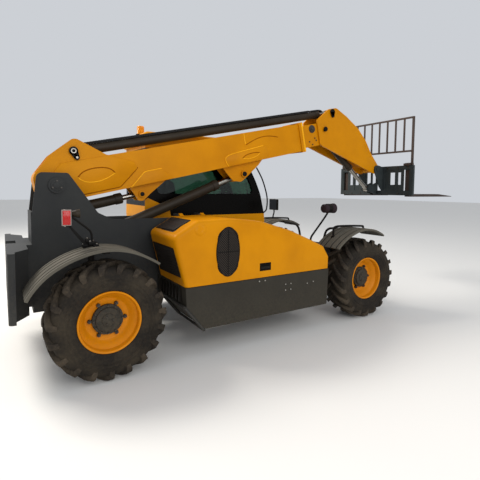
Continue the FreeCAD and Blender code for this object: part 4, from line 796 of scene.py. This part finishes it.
def make_grilles():
    # Louvres over the rear grille, then a screen and a rim over each of the three grilles
    def rear_spot(side, up, out=0.0):
        share = (up - 0.751) / 0.519
        return Vector((REAR_AXLE + 0.740 - 0.128 * share - out * 0.971, side, up - out * 0.24))

    def top_spot(share, side):
        return Vector((REAR_AXLE + 0.6112 + 0.268 * share, side, 1.2714 + 0.154 * share))

    louvres = bmesh.new()
    for index in range(9):
        up = 0.872 + index * 0.0285
        low_share = (up - 0.85) / 0.28
        near = -1.020 + 0.010 * low_share
        far = -0.455 + 0.015 * low_share
        wave = []
        count = 12
        for step in range(count + 1):
            side = near + (far - near) * step / count
            wave.append(rear_spot(side, up + 0.010 * math.sin(3.6 * math.pi * step / count), -0.001))
        top = [place + Vector((0.002, 0, 0.012)) for place in wave]
        plate(louvres, wave + top[::-1], (-0.006, 0, -0.0015))
    add("rear_louvres", louvres, "hood", BLACK)
    corners = ((-1.010, 1.145), (-0.430, 1.145), (-0.450, 0.835), (-1.030, 0.850))
    framed_screen("rear_grille", [rear_spot(*pair, 0.0009) for pair in corners], (-0.0025, 0, -0.0006), 0.006)
    bars = bmesh.new()
    for low, high, wide in ((0.845, 1.315, 0.005), (1.074, 1.086, 0.128)):
        block(bars, spot(1.23 - wide, -1.1075, low), spot(1.23 + wide, -1.1040, high))
    add("side_grille_bars", bars, "hood", BLACK)
    screen = bmesh.new()
    plate(screen, oval(1.23, 1.08, 0.140, 0.262, -1.1002), (0, -0.004, 0))
    add("side_grille_screen", screen, "hood", SIDE_MESH)
    outline = oval(1.23, 1.08, 0.140, 0.262, -1.1035)
    bent("side_grille_rim", outline, 0.0062, "hood", BLACK, True)
    corners = ((0.24, -0.44), (0.30, -0.905), (0.93, -0.940), (0.93, -0.44))
    framed_screen("top_grille", [top_spot(*pair) for pair in corners], (-0.0025, 0, 0.0043), 0.007)
    latch = bmesh.new()
    block(latch, spot(1.645, -1.1025, 0.825), spot(1.800, -1.0995, 0.915))
    soften(latch, 0.0012, 2)
    add("hood_latch_well", latch, "hood", GLOSS_BLACK)
    handle = bmesh.new()
    block(handle, spot(1.66, -1.1075, 0.85), spot(1.785, -1.1025, 0.875))
    soften(handle, 0.002, 2)
    add("hood_latch_handle", handle, "hood", BLACK)


make_grilles()


def make_skirt_trim():
    bolts = bmesh.new()
    places = (
        (-0.08, 0.71), (0.0, 0.71), (0.30, 0.63), (0.38, 0.63), (0.30, 0.56), (0.38, 0.56), (0.64, 0.60),
        (0.74, 0.61),
    )
    for along, up in places:
        stack(bolts, ground_spot(along, up, HOOD_SIDE), Vector((0, -1, 0)), ((0.0, 0.006, 0.0085, 12),))
    soften(bolts, 0.002, 2)
    add("skirt_bolts", bolts, "chassis", STEEL)
    guard = bmesh.new()
    top, foot, near, far = (-0.985, 0.545), (-0.765, 0.272), -1.085, -0.42
    for side in (near, far):
        rod(guard, ground_spot(*top, side), ground_spot(*foot, side), 0.018, 12)
    for end in (top, foot):
        rod(guard, ground_spot(*end, near), ground_spot(*end, far), 0.014, 12)
    add("skirt_guard", guard, "chassis", CHARCOAL)
    core = bmesh.new()
    for index in range(7):
        side = -0.98 + index * 0.09
        block(core, ground_spot(-0.9935, 0.575, side), ground_spot(-0.9795, 0.725, side + 0.045))
    add("cooler_slats", core, "chassis", BLACK)


make_skirt_trim()


def make_lamps():
    for word, side in SIDES:
        rim = bmesh.new()
        near, far = sorted((side * 0.741, side * 0.839))
        for low, high in ((near, near + 0.007), (far - 0.007, far)):
            block(rim, spot(-0.325, low, 1.393), spot(-0.3175, high, 1.547))
        for low, high in ((1.393, 1.400), (1.540, 1.547)):
            block(rim, spot(-0.325, near + 0.006, low), spot(-0.3175, far - 0.006, high))
        add("tail_lamp_rim_" + word, rim, "chassis", PALE)
        lens = bmesh.new()
        for low, high in ((1.401, 1.444), (1.446, 1.496), (1.498, 1.539)):
            block(lens, spot(-0.324, near + 0.008, low), spot(-0.3175, far - 0.008, high))
        soften(lens, 0.002, 2)
        add("tail_lamp_lens_" + word, lens, "chassis", LENS_RED)
        flank = bmesh.new()
        block(flank, spot(-0.352, side * 0.8395, 1.402), spot(-0.270, side * 0.846, 1.548))
        soften(flank, 0.003, 2)
        add("tail_lamp_flank_" + word, flank, "chassis", PALE)
        glow = bmesh.new()
        block(glow, spot(-0.344, side * 0.845, 1.410), spot(-0.278, side * 0.852, 1.540))
        soften(glow, 0.003, 2)
        add("tail_lamp_side_" + word, glow, "chassis", LENS_RED)
        round_lamp = bmesh.new()
        steps = ((-0.044, 0.0, 0.020, 24, 0.034), (0.0, 0.026, 0.037, 24, 0.038), (0.026, 0.034, 0.041, 24))
        stack(round_lamp, spot(-0.225, side * 0.79, 1.508), Vector((1, 0, 0)), steps)
        add("work_lamp_" + word, round_lamp, "chassis", TUBE)
        line = (
            (-0.285, 1.500), (-0.262, 1.480), (-0.205, 1.430), (-0.120, 1.360), (-0.098, 1.330),
            (-0.092, 1.285), (-0.092, 1.215),
        )
        points = [spot(a, side * 0.815, b) for a, b in line]
        bent("lamp_stay_" + word, points, 0.010, "chassis", BLACK)
        clamps = bmesh.new()
        parts = (
            # station, side, height, half sizes along, across and up
            (-0.095, 0.805, 1.225, 0.030, 0.034, 0.018),
            (-0.128, 0.790, 1.250, 0.018, 0.026, 0.020),
            (-0.060, 0.800, 1.203, 0.026, 0.045, 0.012),
            (-0.135, 0.790, 1.205, 0.045, 0.028, 0.012),
        )
        for station, across, up, long, wide, high in parts:
            middle, half = spot(station, side * across, up), Vector((long, wide, high))
            block(clamps, middle - half, middle + half)
        soften(clamps, 0.004, 2)
        add("lamp_clamps_" + word, clamps, "chassis", BLACK)
        bolts = bmesh.new()
        places = (
            (-0.080, 0.790, 1.241), (-0.110, 0.822, 1.241), (-0.128, 0.790, 1.268), (-0.050, 0.825, 1.213),
            (-0.165, 0.790, 1.215),
        )
        for station, across, up in places:
            stack(bolts, spot(station, side * across, up), Vector((0, 0, 1)), ((0.0, 0.012, 0.008, 6),))
        add("lamp_bolts_" + word, bolts, "chassis", STEEL)
        head = bmesh.new()
        block(head, spot(3.6895, side * 0.285, 0.772), spot(3.697, side * 0.368, 0.868))
        soften(head, 0.003, 2)
        add("head_lamp_lens_" + word, head, "chassis", LENS_CLEAR)


make_lamps()


def make_mirrors():
    # Left head in a padded case, right head a drum that faces forward, both on bent stays
    head = bmesh.new()
    block(head, spot(3.430, 0.915, 1.375), spot(3.474, 1.150, 1.575))
    soften(head, 0.012, 3)
    middle, ahead = spot(0.0, -0.705, 1.490), Vector((1, 0, 0))
    stack(head, middle, ahead, ((3.110, 3.128, 0.0655, 40), (3.062, 3.110, 0.0655, 40)))
    whole = add("mirror_heads", head, "chassis", BLACK)
    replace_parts(whole, "mirrors")
    drum = bmesh.new()
    stack(drum, middle, ahead, (
        (2.992, 3.004, 0.050, 40, 0.060),
        (3.004, 3.180, 0.060, 40, 0.068),
        (3.180, 3.196, 0.070, 40),
        (3.196, 3.202, 0.070, 40, 0.064),
    ))
    add("mirror_drum", drum, "chassis", PLUM)
    # Mirror glass in the painted shade finish
    glass = bmesh.new()
    stack(glass, middle, ahead, ((3.200, 3.2045, 0.058, 40),))
    block(glass, spot(3.4275, 0.930, 1.390), spot(3.4305, 1.135, 1.560))
    add("mirror_glass", glass, "chassis", MIRROR_PAINTED_SHADE)
    stays = (
        # name, side, radius, stations and heights
        ("right", -0.705, 0.0135, (
            (2.825, 0.940), (2.790, 0.985), (2.762, 1.040), (2.775, 1.105), (2.820, 1.150), (3.086, 1.425),
            (3.092, 1.450),
        )),
        ("left", 1.053, 0.0125, (
            (3.449, 1.212), (3.449, 1.260), (3.478, 1.330), (3.470, 1.385), (3.452, 1.402), (3.450, 1.420),
        )),
    )
    for word, side, radius, line in stays:
        points = [spot(a, side, b) for a, b in line]
        bent("mirror_stay_" + word, points, radius, "chassis", BLACK)
    base = bmesh.new()
    block(base, spot(2.815, -0.722, 0.928), spot(2.855, -0.270, 0.962))
    for up in (1.415, 1.565):
        block(base, spot(3.466, 1.030, up - 0.012), spot(3.478, 1.076, up + 0.012))
    soften(base, 0.003, 2)
    add("mirror_brackets", base, "chassis", BLACK)


make_mirrors()


def make_backrest():
    # Ten uprights between two rails, on the carriage's own place
    shape = bmesh.new()
    near, far = 4.930, 4.954
    half, low, high = 0.755, 2.392, 2.968
    for bottom, top in ((low, low + 0.030), (high - 0.030, high)):
        block(shape, spot(near, -half, bottom), spot(far, half, top))
    uprights = 10
    for index in range(uprights):
        side = -half + 0.015 + index * (2 * half - 0.030) / (uprights - 1)
        wide, foot = (0.021, 2.170) if index in (0, uprights - 1) else (0.015, low + 0.004)
        block(shape, spot(near + 0.003, side - wide, foot), spot(far - 0.003, side + wide, high - 0.004))
    soften(shape, 0.0025, 1)
    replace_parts(add("backrest_grid", shape, "carriage", GRID), "backrest")


make_backrest()


def make_carriage_plates():
    shape = bmesh.new()
    plates = (
        # near side, far side, low, high
        (0.233, 0.345, 1.748, 2.102),
        (0.344, 0.442, 1.748, 1.850),
        (0.344, 0.442, 2.058, 2.102),
        (0.478, 0.552, 1.748, 1.850),
        (0.478, 0.552, 2.058, 2.102),
        (0.551, 0.606, 1.748, 2.102),
        (0.704, 0.732, 1.748, 2.102),
    )
    for _, side in SIDES:
        for near, far, low, high in plates:
            block(shape, spot(4.926, side * near, low), spot(4.938, side * far, high))
    soften(shape, 0.0015, 1)
    add("carriage_plates", shape, "carriage", SLATE)
    bolts = bmesh.new()
    for side in (-0.69, -0.5, -0.29, 0.29, 0.5, 0.69):
        for up in (1.700, 2.136):
            rod(bolts, spot(4.921, side, up), spot(4.912, side, up), 0.013, 6)
    add("carriage_bolts", bolts, "carriage", DARK_STEEL)


make_carriage_plates()


def make_cab_trim():
    # Yellow sheet under the rear pane and the side panes, and a yellow header over them
    shape = bmesh.new()
    inner, outer = (0.2255, -0.003), (1.0795, 0.003)
    corner = (
        (0.757, 1.376), (1.115, 1.376), (1.100, 1.460), (1.070, 1.500), (0.940, 1.560), (0.800, 1.625),
        (0.760, 1.600),
    )
    quarter = ((0.757, 1.376), (1.350, 1.376), (1.350, 1.670), (0.764, 1.670))
    header = ((0.768, 2.268), (2.130, 2.268), (2.108, 2.309), (0.768, 2.309))
    for outline, (side, thick) in ((corner, inner), (quarter, outer), (header, inner), (header, outer)):
        plate(shape, [spot(a, side, b) for a, b in outline], (0, thick, 0))
    for foot, low, head, high in ((0.7595, 1.378, 0.7615, 1.520), (0.7710, 2.268, 0.7715, 2.309)):
        edge = ((foot, 0.228, low), (foot, 1.077, low), (head, 1.077, high), (head, 0.228, high))
        plate(shape, [spot(*place) for place in edge], (-0.003, 0, 0))
    add("cab_sheets", shape, "chassis", CAB_YELLOW)
    line = (
        (2.548, 2.085), (2.600, 2.010), (2.668, 1.900), (2.735, 1.725), (2.765, 1.600), (2.760, 1.480),
        (2.735, 1.395), (2.640, 1.370),
    )
    bent("cab_guard_bow", [spot(a, 0.300, b) for a, b in line], 0.011, "chassis", BLACK)
    wiper = bmesh.new()
    rod(wiper, spot(2.655, 0.655, 1.395), spot(2.668, 0.655, 1.395), 0.022, 20)
    rod(wiper, spot(2.668, 0.655, 1.395), spot(2.590, 0.60, 1.720), 0.006, 10)
    rod(wiper, spot(2.6025, 0.62, 1.560), spot(2.535, 0.56, 1.860), 0.007, 8)
    add("windscreen_wiper", wiper, "chassis", BLACK)
    dome = bmesh.new()
    lens = [(0.0, 0.001), (0.0, 0.060), (0.026, 0.060), (0.028, 0.052)]
    for index in range(5):
        lens += [(0.034 + index * 0.018, 0.052), (0.042 + index * 0.018, 0.0485)]
    lens += [(0.128, 0.050), (0.138, 0.042), (0.142, 0.028), (0.142, 0.001)]
    foot, upward = spot(0.880, 0.760, 2.480), Vector((0, 0, 1))
    turned(dome, lens, foot, upward, 40)
    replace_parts(add("beacon_lens", dome, "chassis", AMBER), "beacon")
    base = bmesh.new()
    stack(base, foot, upward, ((-0.001, 0.027, 0.0655, 32), (-0.001, 0.006, 0.080, 32)))
    soften(base, 0.003, 2)
    add("beacon_base", base, "chassis", BLACK)
    handle = bmesh.new()
    block(handle, spot(2.24, 1.112, 1.27), spot(2.38, 1.1185, 1.33))
    block(handle, spot(2.255, 1.118, 1.305), spot(2.365, 1.130, 1.320))
    soften(handle, 0.003, 2)
    add("door_handle", handle, "door", GLOSS_BLACK)


make_cab_trim()


def make_pivot_caps():
    # Lock plate and bolts on the end of the boom's pivot pin
    shape = bmesh.new()
    bolts = bmesh.new()
    for _, side in SIDES:
        middle, out = PIVOT + Vector((0, side * 0.292, 0)), Vector((0, side, 0))
        stack(shape, middle, out, ((0.0, 0.008, 0.060, 32), (0.008, 0.014, 0.036, 32)))
        for angle in (90, 210, 330):
            stack(bolts, middle + polar(math.radians(angle), 0.046, 0.0), out, ((0.008, 0.016, 0.009, 6),))
    soften(shape, 0.002, 2)
    add("pivot_caps", shape, "chassis", CHARCOAL)
    add("pivot_bolts", bolts, "chassis", DARK_STEEL)


make_pivot_caps()


def make_cylinder_fittings():
    # Gland and base band on the lift and the levelling cylinder
    cylinders = (
        # body, base station and height, pin along and up the boom frame, barrel length, radius
        ("lift_barrel", (0.120, 1.186), boom_spot(*LIFT_PIN), 1.69, 0.064),
        ("level_barrel", (-0.180, 1.500), boom_spot(*LEVEL_PIN), 0.60, 0.058),
    )
    for body, (station, height), pin, long, radius in cylinders:
        base = spot(station, 0.0, height)
        way = (pin - base).normalized()
        shape = bmesh.new()
        rings = ((long - 0.085, long - 0.004, radius + 0.007, 28), (0.11, 0.135, radius + 0.004, 28))
        stack(shape, base, way, rings)
        soften(shape, 0.002, 1)
        add(body + "_gland", shape, body, TUBE)


make_cylinder_fittings()

# Floor, light and camera
shape = bmesh.new()
bmesh.ops.create_grid(shape, x_segments=1, y_segments=1, size=60.0)
ground = bpy.data.meshes.new("floor")
shape.to_mesh(ground)
shape.free()
floor_finish = Finish("floor_pale")
floor_finish.set(Base_Color=srgb(226, 224, 220), Roughness=0.9)
floor = bpy.data.objects.new("floor", ground)
floor.data.materials.append(floor_finish.material)
bpy.context.scene.collection.objects.link(floor)

world = bpy.data.worlds.new("studio")
world.use_nodes = True
world.node_tree.nodes["Background"].inputs["Color"].default_value = (*srgb(232, 236, 242), 1.0)
world.node_tree.nodes["Background"].inputs["Strength"].default_value = 0.75
bpy.context.scene.world = world


def lamp(name, place, aim, power, size, colour=(1.0, 1.0, 1.0)):
    light = bpy.data.lights.new(name, "AREA")
    light.energy = power
    light.size = size
    light.color = colour
    holder = bpy.data.objects.new(name, light)
    holder.location = place
    holder.rotation_euler = (Vector(aim) - Vector(place)).to_track_quat("-Z", "Y").to_euler()
    bpy.context.scene.collection.objects.link(holder)


lamp("key", (-7.0, 5.5, 9.0), (0, 0, 1.0), 1500.0, 4.0, (1.0, 0.96, 0.9))
lamp("fill", (-1.0, -10.0, 5.0), (0, 0, 1.0), 420.0, 7.0)

camera = bpy.data.cameras.new("camera")
camera.lens = 28.49
camera.sensor_width = 36.0
camera.shift_y = -0.0542
view = bpy.data.objects.new("camera", camera)
yaw, pitch, roll = math.radians(32.18), math.radians(3.65), math.radians(0.51)
forward = Vector((math.sin(yaw) * math.cos(pitch), math.cos(yaw) * math.cos(pitch), -math.sin(pitch)))
right = Vector((math.cos(yaw), -math.sin(yaw), 0.0))
upward = right.cross(forward)
basis = Matrix((right, upward, -forward)).transposed().to_4x4()
view.matrix_world = Matrix.Translation((-3.501, -4.565, 1.741)) @ basis @ Matrix.Rotation(roll, 4, "Z")
bpy.context.scene.collection.objects.link(view)
bpy.context.scene.camera = view
bpy.context.scene.view_settings.view_transform = "Standard"
